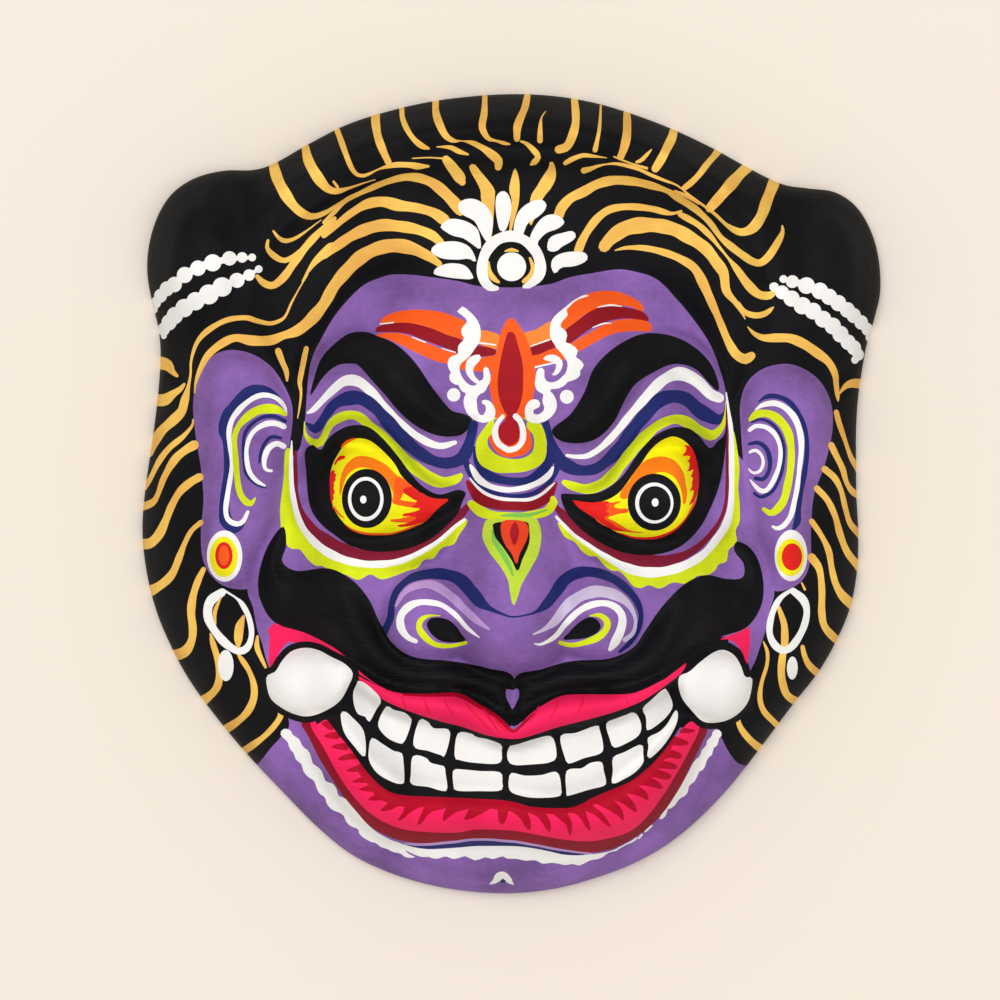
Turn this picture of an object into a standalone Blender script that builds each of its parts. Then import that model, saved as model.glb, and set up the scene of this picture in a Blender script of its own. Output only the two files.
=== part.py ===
# A painted papier-mache demon mask, hollow at the back, lying face up on its flat rim.
# Metres, with +Z up out of the face, +X to the viewer's right and +Y to the top of the head.
# The forms are drawn in millimetres on a plan of the face, then stretched to the named width and height.

import bpy
import numpy as np
from mathutils import Vector
from mathutils.geometry import delaunay_2d_cdt

MM = 0.001

# Driving sizes in metres
MASK_WIDTH = 0.2776
MASK_HEIGHT = 0.3006
WALL = 0.005
SIDE_HEIGHT = 0.030
SIDE_ROLL = 0.030
CROWN = 0.014
FACE_SWELL = 0.016

# Heights of the moulded forms above the dome of the face, in metres
NOSE_RISE = 0.024
WING_RISE = 0.016
BROW_RISE = 0.008
EYE_RISE = 0.013
LID_RISE = 0.009
UNDER_EYE_RISE = 0.004
CHEEK_RISE = 0.005
MOUSTACHE_RISE = 0.007
UPPER_LIP_RISE = 0.011
LOWER_LIP_RISE = 0.012
BALL_RISE = 0.013
EAR_RISE = 0.008
HAIR_RISE = 0.007
HAIR_ROLL_RISE = 0.006
BUN_RISE = 0.009
CHIN_RISE = 0.004
FOREHEAD_RISE = 0.004
SOCKET_DEPTH = 0.004
CONCHA_DEPTH = 0.005
NOSTRIL_DEPTH = 0.005
GROOVE_DEPTH = 0.005
TEETH_DEPTH = 0.003

# Spacing of the points that the surface is built from, in millimetres on the plan
OUTLINE_STEP = 6.0
FORM_STEP = 4.0
FACE_STEP = 5.0
HAIR_STEP = 7.0
BACK_STEP = 9.0
CLOSEST_FRONT = 2.8
CLOSEST_BACK = 5.5
FINE_STEP = 1.5
ROLL_ANGLES_FRONT = (10, 21, 34, 50)
ROLL_ANGLES_BACK = (14, 34, 55)

# Smoothing of the moulded forms on the hollow side, in millimetres
BACK_GRID = 3.0
BACK_BLURS = 4

# Where the rows beside a form's foot run, as shares of its shoulder and of its radius
SHOULDER_ROW = 0.38
DOME_ROW = 0.3

# The part of the plan that is carved finely
FACE_CENTRE = (0, -24)
FACE_REACH = (98, 112)

# How far from the rim the forms reach their full height, in millimetres
RIM_FADE = 12.0

# How sharply two raised forms keep their own edges where they meet
BLEND_POWER = 5.0

# Outline of the whole mask, anticlockwise from the middle of the right side
OUTLINE = [
    (129.6, 0), (129.5, 12), (129.5, 24), (130.2, 36), (131.6, 46), (133.6, 57), (136.6, 67),
    (138.6, 77), (137.9, 89), (134.9, 99.5), (129.5, 108.3), (121.5, 113.7), (111, 115.2),
    (101.5, 116.8), (90, 122.3), (75.3, 130.4), (60.5, 137.4), (46.4, 142.8), (31.3, 147.3),
    (15.8, 149.9), (0, 150.6), (-15.7, 149.7), (-31.4, 147.6), (-46.8, 144), (-61.9, 139.1),
    (-76.1, 131.9), (-89, 124.6), (-97, 122.1), (-108, 121.8), (-118.5, 119.2), (-127, 113.7),
    (-132.6, 105.5), (-136, 95), (-136.9, 84), (-135.2, 73), (-132.6, 62), (-131.9, 51),
    (-133, 36), (-135, 20), (-137.5, 3), (-138.7, -13), (-137.3, -28), (-133.7, -43),
    (-128.2, -56.5), (-121, -69.8), (-110.7, -84), (-99, -98), (-86, -111.8), (-73, -125),
    (-60.2, -135.3), (-46.2, -142.1), (-31.1, -146.7), (-15.7, -149.3), (0, -150),
    (15.6, -148.4), (30.7, -144.5), (45.2, -139.1), (58.6, -131.6), (71.5, -121),
    (83, -108.7), (94.5, -94), (105.5, -79.3), (115.5, -66.5), (122.8, -53.5),
    (127.6, -41.3), (129.9, -28), (130.3, -14),
]

# Domes: centre x and y, half width, half height, turn in degrees, rise, sharpness of the edge
DOMES = [
    (0, -46.5, 25, 22, 0, NOSE_RISE, 0.8),
    (-31, -45.5, 19, 18, 0, WING_RISE, 0.8),
    (31.5, -45, 19, 18, 0, WING_RISE, 0.8),
    (-54.5, 1, 20, 18, 0, EYE_RISE, 0.7),
    (54.5, 0, 20, 18, 0, EYE_RISE, 0.7),
    (-76, -70.2, 16.5, 13.5, 0, BALL_RISE, 0.6),
    (76, -71.6, 14.5, 14.2, 0, BALL_RISE, 0.6),
    (-121, 88, 20, 30, 0, BUN_RISE, 1.0),
    (121, 86, 20, 28, 0, BUN_RISE, 1.0),
    (-70, -38, 36, 26, 0, CHEEK_RISE, 1.2),
    (70, -38, 36, 26, 0, CHEEK_RISE, 1.2),
    (0, 60, 52, 30, 0, FOREHEAD_RISE, 1.2),
    (0, 16, 14, 15, 0, FOREHEAD_RISE, 1.0),
    (0, -138, 50, 14, 0, CHIN_RISE, 1.2),
]

# Sunk hollows, in the same order of values
HOLLOWS = [
    (-55, -1, 31, 26, 0, SOCKET_DEPTH, 1.0),
    (54, -2, 31, 26, 0, SOCKET_DEPTH, 1.0),
    (-25, -50, 8.5, 5, -25, NOSTRIL_DEPTH, 1.0),
    (27, -50, 8.5, 5, 25, NOSTRIL_DEPTH, 1.0),
    (-95, 14, 12, 25, 0, CONCHA_DEPTH, 1.0),
    (97, 11, 12, 25, 0, CONCHA_DEPTH, 1.0),
    (-102, 106, 13, 13, 0, GROOVE_DEPTH, 1.2),
    (103, 102, 13, 13, 0, GROOVE_DEPTH, 1.2),
]

# Ridges: rise and sharpness, then the middle line as x, y, half width, share of the rise
RIDGES = [
    (NOSE_RISE, 1.2, [
        (0.5, 28, 10, 0.15), (0.5, 12, 14, 0.38), (0, -5, 17, 0.52), (0, -20, 21, 0.68),
        (0, -34, 24, 0.84), (0, -46, 25, 0.9),
    ]),
    (EYE_RISE, 0.8, [(-55, 0, 17, 0.95), (-40, -3, 11, 0.6), (-24, -2.5, 4, 0.25)]),
    (EYE_RISE, 0.8, [(55, 0, 17, 0.95), (40, -4, 11, 0.6), (24, -3.5, 4, 0.25)]),
    (BROW_RISE, 1.0, [
        (-75, 40, 3.5, 0.4), (-68, 49.5, 6.5, 0.8), (-60, 54.3, 7, 1), (-52, 52.5, 8, 1),
        (-44, 45, 8.5, 1), (-36, 36, 8.5, 1), (-28, 29, 7, 1), (-21, 26, 5, 0.9), (-15, 27, 3, 0.6),
    ]),
    (BROW_RISE, 1.0, [
        (77, 39, 3.5, 0.4), (74, 46, 6, 0.8), (67, 52, 7, 1), (58, 54.5, 7.5, 1), (49, 52, 8, 1),
        (42, 47, 8.5, 1), (37, 39, 8.5, 1), (31, 30.5, 8, 1), (25, 24.5, 5.5, 0.9), (17, 22, 3, 0.6),
    ]),
    (LID_RISE, 0.8, [
        (-76, 8, 4, 0.5), (-72, 16, 4.5, 0.8), (-66, 22, 5, 1), (-57, 24, 5, 1), (-49, 20, 5, 1),
        (-43, 13, 5, 1), (-37, 6.5, 4.5, 0.9), (-29, 1.5, 4, 0.7), (-19, 0.5, 3, 0.4),
    ]),
    (LID_RISE, 0.8, [
        (76, 8, 4, 0.5), (72, 16, 4.5, 0.8), (66, 21.5, 5, 1), (57, 23.5, 5, 1), (49, 18, 5, 1),
        (43, 10, 5, 1), (37, 2.5, 4.5, 0.9), (29, -1, 4, 0.7), (20, -1, 3, 0.4),
    ]),
    (UNDER_EYE_RISE, 0.9, [
        (-81, 8, 4, 0.6), (-79, -4, 4.5, 0.9), (-74, -13, 5, 1), (-66, -20, 5.5, 1),
        (-56, -23.5, 6, 1), (-46, -24, 6, 1), (-36, -21.5, 5.5, 1), (-27, -16, 5, 0.9), (-19, -9, 3, 0.5),
    ]),
    (UNDER_EYE_RISE, 0.9, [
        (82, 6, 4, 0.6), (79.5, -6, 4.5, 0.9), (75, -16, 5, 1), (67, -23, 5.5, 1),
        (57, -26, 6, 1), (46, -25.5, 6, 1), (36, -22, 5.5, 1), (27, -16, 5, 0.9), (19, -8, 3, 0.5),
    ]),
    (UPPER_LIP_RISE, 1.0, [
        (-61, -64, 3.5, 0.55), (-50, -72.5, 5, 0.8), (-40, -77, 6.5, 0.95), (-28, -78.5, 7, 1),
        (-15, -81.5, 7.5, 1), (0, -88, 6.5, 1), (14, -82, 7.5, 1), (27, -79.5, 7, 1), (40, -77.5, 6.5, 0.95),
        (52, -72.5, 5, 0.8), (64, -64.5, 3.5, 0.55),
    ]),
    (LOWER_LIP_RISE, 1.0, [
        (-73, -86, 7, 0.55), (-66, -98, 9, 0.8), (-56, -111, 10, 0.95), (-43, -120, 11, 1),
        (-25, -121.5, 11, 1), (0, -122, 10.5, 1), (20, -124.5, 11, 1), (38, -121, 11.5, 1),
        (53, -109, 11, 0.95), (62, -97, 9, 0.8), (69, -86.5, 6, 0.55),
    ]),
    (HAIR_ROLL_RISE, 1.0, [
        (-92, 106, 9, 0.6), (-78, 119, 11, 1), (-60, 128.5, 12, 1), (-30, 139, 12, 1), (0, 141.5, 12, 1),
        (30, 138, 12, 1), (60, 127.5, 12, 1), (78, 117, 11, 1), (91, 106, 9, 0.6),
    ]),
]

# Grooves, in the same order of values
GROOVES = [
    (GROOVE_DEPTH, 1.5, [
        (-95, 84, 6, 0.3), (-87, 100, 8, 0.6), (-71, 113, 9, 0.8), (-50, 122, 9, 0.8),
        (-25, 127, 9, 0.8), (0, 128, 9, 0.8), (25, 126.5, 9, 0.8), (50, 121.5, 9, 0.8),
        (70, 111, 9, 0.8), (86, 98, 8, 0.6), (94, 82, 6, 0.3),
    ]),
    (GROOVE_DEPTH, 1.2, [(-134, 47, 5, 0.8), (-126, 43, 5, 0.8), (-119, 36, 4, 0.3)]),
    (GROOVE_DEPTH, 1.2, [(132, 48, 5, 0.8), (126, 44, 5, 0.8), (121, 38, 4, 0.3)]),
]

# Pads with their own carved outline: rise, width of the rounded shoulder in millimetres, outline
LEFT_MOUSTACHE = [
    (-85, -12), (-89, -16), (-92.5, -23), (-94.5, -32), (-93.5, -40), (-88, -48), (-76, -52),
    (-64, -58.5), (-55, -67), (-46, -72.5), (-36, -74), (-20, -74.5), (-10, -79), (0, -86),
    (1, -68.5), (-9, -64.5), (-22, -62), (-36, -60.5), (-44, -55.5), (-49, -47.5), (-53, -39),
    (-59, -32), (-68, -27.5), (-80, -28.5), (-85.5, -25), (-84, -19),
]
RIGHT_MOUSTACHE = [
    (84, -17.5), (89, -20), (92.5, -26), (94, -35), (92.5, -43), (87, -50), (76, -54),
    (66, -62), (55, -69), (46, -73), (34, -74), (20, -74.5), (10, -79), (0, -86),
    (1, -68.5), (11, -65), (22, -62), (36, -61), (45, -57), (50, -50), (56, -41.5),
    (64, -33.5), (72, -30), (80, -31.5), (86, -31), (86.5, -26), (83, -21),
]
LEFT_EAR = [
    (-105, 54), (-97, 52.5), (-90, 48), (-85, 41), (-81.8, 33), (-82, 24), (-84, 12), (-86, 0),
    (-89, -12), (-94, -24), (-96.5, -34), (-103, -35.3), (-110, -32.5), (-115, -25), (-116, -14),
    (-115, -2), (-116, 10), (-118, 22), (-119, 34), (-117, 45), (-112, 51.5),
]
RIGHT_EAR = [
    (102, 48.8), (94, 47), (88, 42), (85.3, 34), (85.5, 24), (86.5, 12), (88.5, 0), (91, -12),
    (94.5, -24), (96.5, -35), (103, -35.5), (109, -31.5), (111.6, -24), (111.8, -12),
    (113, 0), (117, 11), (120, 24), (119.5, 34), (115.5, 42), (109, 47),
]
FRONT_HAIR = [
    (-80, 34), (-77, 47), (-72, 58), (-66, 67), (-58, 76), (-48, 82), (-36, 83), (-20, 80), (0, 77.5),
    (18, 79.5), (34, 84), (48, 83), (58, 77.5), (66, 68.5), (73, 57), (78, 45), (81, 34),
    (90, 52), (96, 66), (94, 86), (82, 101), (66, 112), (45, 119.5), (20, 124), (0, 125),
    (-22, 124), (-46, 119), (-67, 111), (-83, 101), (-94, 88), (-98, 68), (-92, 55),
]
TEETH = [
    (-60, -70), (-50, -77), (-36, -83), (-18, -88), (0, -92), (18, -88), (36, -83), (52, -76),
    (61, -70), (64, -80), (60, -92), (50, -103), (38, -110.5), (24, -115), (8, -115.5),
    (-10, -113), (-28, -112.5), (-42, -111), (-53, -103), (-62, -90), (-66, -80),
]
PADS = [
    (MOUSTACHE_RISE, 9.0, LEFT_MOUSTACHE),
    (MOUSTACHE_RISE, 9.0, RIGHT_MOUSTACHE),
    (EAR_RISE, 9.0, LEFT_EAR),
    (EAR_RISE, 9.0, RIGHT_EAR),
    (HAIR_RISE, 13.0, FRONT_HAIR),
]
SUNK_PADS = [
    (TEETH_DEPTH, 6.0, TEETH),
]


def spline(points, closed, step):
    """A smooth line through the points, with even steps of about the given length."""
    points = np.array(points, float)
    if closed:
        around = np.vstack([points[-1], points, points[0], points[1]])
    else:
        around = np.vstack([2 * points[0] - points[1], points, 2 * points[-1] - points[-2]])
    share = np.linspace(0, 1, 12, endpoint=False)[:, None]
    pieces = []
    for a, b, c, d in zip(around[:-3], around[1:-2], around[2:-1], around[3:]):
        bend = 2 * a - 5 * b + 4 * c - d
        twist = 3 * b - a - 3 * c + d
        pieces.append(b + 0.5 * share * (c - a + share * (bend + share * twist)))
    pieces.append(points[:1] if closed else points[-1:])
    line = np.vstack(pieces)
    lengths = np.linalg.norm(np.diff(line[:, :2], axis=0), axis=1)
    travelled = np.concatenate([[0], np.cumsum(lengths)])
    count = max(2, round(travelled[-1] / step))
    stops = np.linspace(0, travelled[-1], count + 1)
    columns = []
    for values in line.T:
        columns.append(np.interp(stops, travelled, values))
    evened = np.column_stack(columns)
    return evened[:-1] if closed else evened


def nearest_on(line, spots):
    """Distance from each spot to a line, with the segment and the share along it."""
    start = line[:-1, :2]
    span = line[1:, :2] - start
    reach = spots[:, None, :] - start[None, :, :]
    share = (reach * span).sum(axis=2) / (span ** 2).sum(axis=1)
    share = np.clip(share, 0, 1)
    gap = np.linalg.norm(reach - share[:, :, None] * span, axis=2)
    return gap, share


def edge_distance(ring, spots):
    """Distance from each spot to a closed ring of points."""
    line = np.vstack([ring, ring[:1]])
    found = []
    for chunk in np.array_split(spots, max(1, len(spots) // 2000)):
        found.append(nearest_on(line, chunk)[0].min(axis=1))
    return np.concatenate(found)


def inside(ring, spots):
    """Which spots lie inside a closed ring of points."""
    x, y = spots[:, 0], spots[:, 1]
    odd = np.zeros(len(spots), bool)
    for (ax, ay), (bx, by) in zip(ring, np.roll(ring, -1, axis=0)):
        if ay == by:
            continue
        crosses = (ay > y) != (by > y)
        odd ^= crosses & (x < ax + (y - ay) * (bx - ax) / (by - ay))
    return odd


def smoothstep(low, high, values):
    share = np.clip((values - low) / (high - low), 0, 1)
    return share * share * (3 - 2 * share)


def dome_height(dome, spots):
    x, y, half_width, half_height, turn, rise, sharpness = dome
    angle = np.radians(turn)
    away_x = spots[:, 0] - x
    away_y = spots[:, 1] - y
    along = (away_x * np.cos(angle) + away_y * np.sin(angle)) / half_width
    across = (away_y * np.cos(angle) - away_x * np.sin(angle)) / half_height
    return rise / MM * np.clip(1 - along ** 2 - across ** 2, 0, 1) ** sharpness


def ridge_height(ridge, spots):
    rise, sharpness, middle = ridge
    line = spline(middle, False, 3.0)
    gap, share = nearest_on(line, spots)
    half_width = line[:-1, 2] + share * np.diff(line[:, 2])
    height = line[:-1, 3] + share * np.diff(line[:, 3])
    profile = height * np.clip(1 - (gap / half_width) ** 2, 0, 1) ** sharpness
    return rise / MM * profile.max(axis=1)


def pad_height(pad, spots):
    rise, shoulder, outline = pad
    ring = spline(outline, True, 3.0)
    depth = np.where(inside(ring, spots), edge_distance(ring, spots), 0)
    share = np.clip(depth / shoulder, 0, 1)
    return rise / MM * (1 - (1 - share) ** 2)


def relief(places, stretch):
    """Height of all the moulded forms over the plain dome, in millimetres, before they fade at the rim."""
    spots = places / stretch
    raised = np.zeros(len(spots))
    for dome in DOMES:
        raised += dome_height(dome, spots) ** BLEND_POWER
    for ridge in RIDGES:
        raised += ridge_height(ridge, spots) ** BLEND_POWER
    for pad in PADS:
        raised += pad_height(pad, spots) ** BLEND_POWER
    height = raised ** (1 / BLEND_POWER)
    for hollow in HOLLOWS:
        height -= dome_height(hollow, spots)
    for groove in GROOVES:
        height -= ridge_height(groove, spots)
    for pad in SUNK_PADS:
        height -= pad_height(pad, spots)
    across = np.abs(spots[:, 0] / 84) ** 2.4 + np.abs((spots[:, 1] + 20) / 118) ** 2.4
    swell = FACE_SWELL / MM * (1 - smoothstep(0.72, 1.0, across ** (1 / 2.4)))
    return height + swell


def shell_height(spots, depth, forms):
    """Height of the moulded surface at each spot, with depth its distance from the rim."""
    across = 2 * spots * MM / (MASK_WIDTH, MASK_HEIGHT)
    crown = np.clip(1 - (across ** 2).sum(axis=1), 0, 1)
    dome = SIDE_HEIGHT / MM + CROWN / MM * crown
    roll = np.sqrt(1 - (1 - np.clip(depth * MM / SIDE_ROLL, 0, 1)) ** 2)
    return dome * roll + forms * smoothstep(0, RIM_FADE, depth)


def hex_grid(ring, step):
    """Spots in staggered rows over the whole of a ring."""
    low = ring.min(axis=0)
    high = ring.max(axis=0)
    spots = []
    for row in range(int((high[1] - low[1]) / (step * 0.866)) + 1):
        shift = step / 2 * (row % 2)
        xs = np.arange(low[0] + shift, high[0], step)
        spots.append(np.column_stack([xs, np.full(len(xs), low[1] + row * step * 0.866)]))
    return np.vstack(spots)


def outward_normals(ring):
    """Directions out of an anticlockwise ring at each of its points."""
    along = np.roll(ring, -1, axis=0) - np.roll(ring, 1, axis=0)
    along /= np.linalg.norm(along, axis=1)[:, None]
    return np.column_stack([along[:, 1], -along[:, 0]])


def roll_rows(ring, fine_ring, angles):
    """Rows of spots up the rolled side, spaced by the angle they reach on the roll."""
    rows = []
    for angle in angles:
        depth = SIDE_ROLL / MM * (1 - np.cos(np.radians(angle)))
        row = ring - outward_normals(ring) * depth
        rows.append(row[edge_distance(fine_ring, row) > 0.93 * depth])
    return rows


def form_lines():
    """Spots along the crests, the feet and the shoulders of the forms, most telling first."""
    feet = []
    shoulders = []
    for rise, shoulder, outline in PADS + SUNK_PADS:
        ring = spline(outline, True, FORM_STEP)
        inward = outward_normals(ring) * shoulder * SHOULDER_ROW
        feet.append(ring)
        for row in (ring - inward, ring + inward):
            shoulders.append(row[inside(ring, row)])
    for rise, sharpness, middle in RIDGES + GROOVES:
        line = spline(middle, False, FORM_STEP)
        along = np.gradient(line[:, :2], axis=0)
        along /= np.linalg.norm(along, axis=1)[:, None]
        aside = np.column_stack([-along[:, 1], along[:, 0]]) * line[:, 2:3]
        feet.append(line[:, :2])
        shoulders += [line[:, :2] + aside, line[:, :2] - aside]
    around = np.radians(np.arange(0, 360, 15))
    for x, y, half_width, half_height, turn, rise, sharpness in DOMES + HOLLOWS:
        angle = np.radians(turn)
        along = half_width * np.cos(around)
        across = half_height * np.sin(around)
        ring_x = x + along * np.cos(angle) - across * np.sin(angle)
        ring_y = y + along * np.sin(angle) + across * np.cos(angle)
        ring = np.column_stack([ring_x, ring_y])
        feet.append(ring)
        shoulders.append(ring + ([x, y] - ring) * DOME_ROW)
    return feet + shoulders


def keep_apart(fixed, candidates, gap):
    """The candidates, in order, that stay at least the gap from every spot kept before them."""
    cells = {}
    for spot in fixed:
        cells.setdefault((int(spot[0] // gap), int(spot[1] // gap)), []).append(spot)
    kept = []
    for spot in candidates:
        column, row = int(spot[0] // gap), int(spot[1] // gap)
        near = []
        for step_x in (-1, 0, 1):
            for step_y in (-1, 0, 1):
                near += cells.get((column + step_x, row + step_y), [])
        if any((spot[0] - n[0]) ** 2 + (spot[1] - n[1]) ** 2 < gap * gap for n in near):
            continue
        cells.setdefault((column, row), []).append(spot)
        kept.append(spot)
    return kept


def triangulate(ring, rows, loose):
    """Plan triangles inside the ring, with its own points first. The rows stay whole as edges."""
    count = len(ring)
    points = [Vector(p) for p in ring]
    edges = []
    for i in range(count):
        edges.append((i, (i + 1) % count))
    for row in rows:
        points += [Vector(p) for p in row]
    points += [Vector(p) for p in loose]
    found = delaunay_2d_cdt(points, edges, [], 1, 1e-5)
    spots = np.array([tuple(v) for v in found[0]])
    order = {}
    for new, originals in enumerate(found[3]):
        for old in originals:
            if old < count:
                order[old] = new
    border = [order[i] for i in range(count)]
    return spots, [tuple(face) for face in found[2]], border


def back_forms(fine_ring, stretch, shift):
    """The forms as the hollow side follows them: kept below the front and smoothed, on a square grid."""
    low = fine_ring.min(axis=0) - 2 * BACK_GRID
    size = ((fine_ring.max(axis=0) - low) / BACK_GRID).astype(int) + 3
    xs = low[0] + BACK_GRID * np.arange(size[0])
    ys = low[1] + BACK_GRID * np.arange(size[1])
    spots = np.array([(x, y) for x in xs for y in ys])
    grid = relief(spots - shift, stretch).reshape(size[0], size[1])
    padded = np.pad(grid, 1, mode="edge")
    lowest = grid.copy()
    for step_x in (0, 1, 2):
        for step_y in (0, 1, 2):
            shifted = padded[step_x:step_x + size[0], step_y:step_y + size[1]]
            lowest = np.minimum(lowest, shifted)
    for blur in range(BACK_BLURS):
        padded = np.pad(lowest, 1, mode="edge")
        lowest = (padded[:-2, 1:-1] + 2 * padded[1:-1, 1:-1] + padded[2:, 1:-1]) / 4
        padded = np.pad(lowest, 1, mode="edge")
        lowest = (padded[1:-1, :-2] + 2 * padded[1:-1, 1:-1] + padded[1:-1, 2:]) / 4

    def sample(spots):
        place = (spots - low) / BACK_GRID
        cell = np.clip(place.astype(int), 0, size - 2)
        share = place - cell
        i, j = cell[:, 0], cell[:, 1]
        near = lowest[i, j] * (1 - share[:, 1]) + lowest[i, j + 1] * share[:, 1]
        far = lowest[i + 1, j] * (1 - share[:, 1]) + lowest[i + 1, j + 1] * share[:, 1]
        return near * (1 - share[:, 0]) + far * share[:, 0]

    return sample


def back_surface(spots, fine_ring, rim_count, rim_normals, sample):
    """The hollow side: the smoothed front moved inwards by the wall along its own normal."""
    def height(places):
        return shell_height(places, edge_distance(fine_ring, places), sample(places))

    nudge = 0.1
    depth = edge_distance(fine_ring, spots)
    depth[:rim_count] = 0
    base = shell_height(spots, depth, sample(spots))
    slope_x = (height(spots + [nudge, 0]) - height(spots - [nudge, 0])) / (2 * nudge)
    slope_y = (height(spots + [0, nudge]) - height(spots - [0, nudge])) / (2 * nudge)
    normals = np.column_stack([-slope_x, -slope_y, np.ones(len(spots))])
    normals /= np.linalg.norm(normals, axis=1)[:, None]
    normals[:rim_count] = np.column_stack([rim_normals, np.zeros(rim_count)])
    points = np.column_stack([spots, base]) - normals * (WALL / MM)
    points[:rim_count, 2] = 0
    return points


def rim_first(spots, faces, border):
    """The same sheet with the border points moved to the front, in order."""
    rest = sorted(set(range(len(spots))) - set(border))
    order = list(border) + rest
    place = {old: new for new, old in enumerate(order)}
    moved = [tuple(place[v] for v in face) for face in faces]
    return spots[order], moved


def sheet(ring, fine_ring, angles, loose, gap):
    """One side of the shell on the plan: rows up the rolled side, then the loose spots."""
    rows = roll_rows(ring, fine_ring, angles)
    last_depth = SIDE_ROLL / MM * (1 - np.cos(np.radians(angles[-1])))
    loose = loose[inside(ring, loose)]
    loose = loose[edge_distance(fine_ring, loose) > last_depth + gap]
    loose = keep_apart(np.vstack(rows), loose, gap)
    return rim_first(*triangulate(ring, rows, loose))


def build_mask():
    outline = spline(OUTLINE, True, OUTLINE_STEP)
    stretch = np.array([MASK_WIDTH, MASK_HEIGHT]) / MM / np.ptp(outline, axis=0)
    grain = stretch.min()
    ring = outline * stretch
    ring -= (ring.min(axis=0) + ring.max(axis=0)) / 2
    shift = ring[0] - outline[0] * stretch
    fine_ring = spline(OUTLINE, True, FINE_STEP) * stretch + shift
    rim_count = len(ring)

    in_hair = hex_grid(ring, HAIR_STEP * grain)
    in_face = hex_grid(ring, FACE_STEP * grain)
    face_spots = (in_face / stretch - FACE_CENTRE) / FACE_REACH
    in_face = in_face[(face_spots ** 2).sum(axis=1) < 1]
    on_forms = np.vstack(form_lines()) * stretch + shift
    loose = np.vstack([on_forms, in_face, in_hair])
    front, front_faces = sheet(ring, fine_ring, ROLL_ANGLES_FRONT, loose, CLOSEST_FRONT * grain)
    depth = edge_distance(fine_ring, front)
    depth[:rim_count] = 0
    heights = shell_height(front, depth, relief(front - shift, stretch))
    front = np.column_stack([front, heights])

    loose = hex_grid(ring, BACK_STEP * grain)
    back, back_faces = sheet(ring, fine_ring, ROLL_ANGLES_BACK, loose, CLOSEST_BACK * grain)
    sample = back_forms(fine_ring, stretch, shift)
    back = back_surface(back, fine_ring, rim_count, outward_normals(ring), sample)

    points = np.vstack([front, back])
    behind = len(front)
    faces = list(front_faces)
    for a, b, c in back_faces:
        faces.append((a + behind, c + behind, b + behind))
    for i in range(rim_count):
        after = (i + 1) % rim_count
        faces.append((i, i + behind, after + behind))
        faces.append((i, after + behind, after))
    mesh = bpy.data.meshes.new("mask")
    mesh.from_pydata((points * MM).tolist(), [], faces)
    mesh.update()
    mesh.shade_smooth()
    mesh.set_sharp_from_angle(angle=np.radians(50))
    mask = bpy.data.objects.new("mask", mesh)
    bpy.context.scene.collection.objects.link(mask)
    return mask


def paint(thing, name, colour, roughness):
    material = bpy.data.materials.new(name)
    material.use_nodes = True
    shader = material.node_tree.nodes["Principled BSDF"]
    shader.inputs["Base Color"].default_value = (*colour, 1)
    shader.inputs["Roughness"].default_value = roughness
    thing.data.materials.append(material)


for thing in list(bpy.data.objects):
    bpy.data.objects.remove(thing)
paint(build_mask(), "painted_papier_mache", (0.23, 0.12, 0.36), 0.5)
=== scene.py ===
# A painted papier-mache demon mask, hollow at the back, lying face up on a plain pale floor.
# The moulded surface is one height map over the plan, and the painting is cut into its mesh as real edges.
# Drawn lines are in millimetres on the plan, with x to the viewer's right and y to the top of the head.
# A brush stroke is a list of (x, y, full width); where a width is left out, it runs on evenly to the next.

import bpy
import numpy as np
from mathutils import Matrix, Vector
from mathutils.geometry import delaunay_2d_cdt
from mathutils.kdtree import KDTree

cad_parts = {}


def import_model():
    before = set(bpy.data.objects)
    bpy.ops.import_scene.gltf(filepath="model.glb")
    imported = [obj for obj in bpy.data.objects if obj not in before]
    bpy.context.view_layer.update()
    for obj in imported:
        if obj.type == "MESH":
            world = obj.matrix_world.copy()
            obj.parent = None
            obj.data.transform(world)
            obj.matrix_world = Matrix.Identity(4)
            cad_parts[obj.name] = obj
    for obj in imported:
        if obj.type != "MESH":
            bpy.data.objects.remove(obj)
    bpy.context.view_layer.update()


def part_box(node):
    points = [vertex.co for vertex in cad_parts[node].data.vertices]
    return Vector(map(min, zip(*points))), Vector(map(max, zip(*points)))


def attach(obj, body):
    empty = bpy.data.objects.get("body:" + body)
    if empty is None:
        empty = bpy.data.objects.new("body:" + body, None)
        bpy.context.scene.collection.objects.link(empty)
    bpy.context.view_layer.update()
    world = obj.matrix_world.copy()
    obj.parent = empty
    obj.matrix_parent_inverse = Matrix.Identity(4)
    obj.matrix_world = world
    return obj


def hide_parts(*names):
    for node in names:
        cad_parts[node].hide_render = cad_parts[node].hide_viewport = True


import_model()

MM = 0.001

# Sizes of the shell in metres, as the solid has them
WALL = 0.005
SIDE_HEIGHT = 0.030
SIDE_ROLL = 0.030
CROWN = 0.014
FACE_SWELL = 0.016

# Heights of the moulded forms above the dome of the face, in metres
NOSE_RISE = 0.024
WING_RISE = 0.016
BROW_RISE = 0.008
EYE_RISE = 0.013
LID_RISE = 0.009
UNDER_EYE_RISE = 0.004
CHEEK_RISE = 0.005
MOUSTACHE_RISE = 0.007
UPPER_LIP_RISE = 0.011
LOWER_LIP_RISE = 0.012
BALL_RISE = 0.013
EAR_RISE = 0.008
HAIR_RISE = 0.007
HAIR_ROLL_RISE = 0.006
BUN_RISE = 0.009
CHIN_RISE = 0.004
FOREHEAD_RISE = 0.004
SOCKET_DEPTH = 0.004
CONCHA_DEPTH = 0.005
NOSTRIL_DEPTH = 0.005
GROOVE_DEPTH = 0.005
TEETH_DEPTH = 0.003

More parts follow.
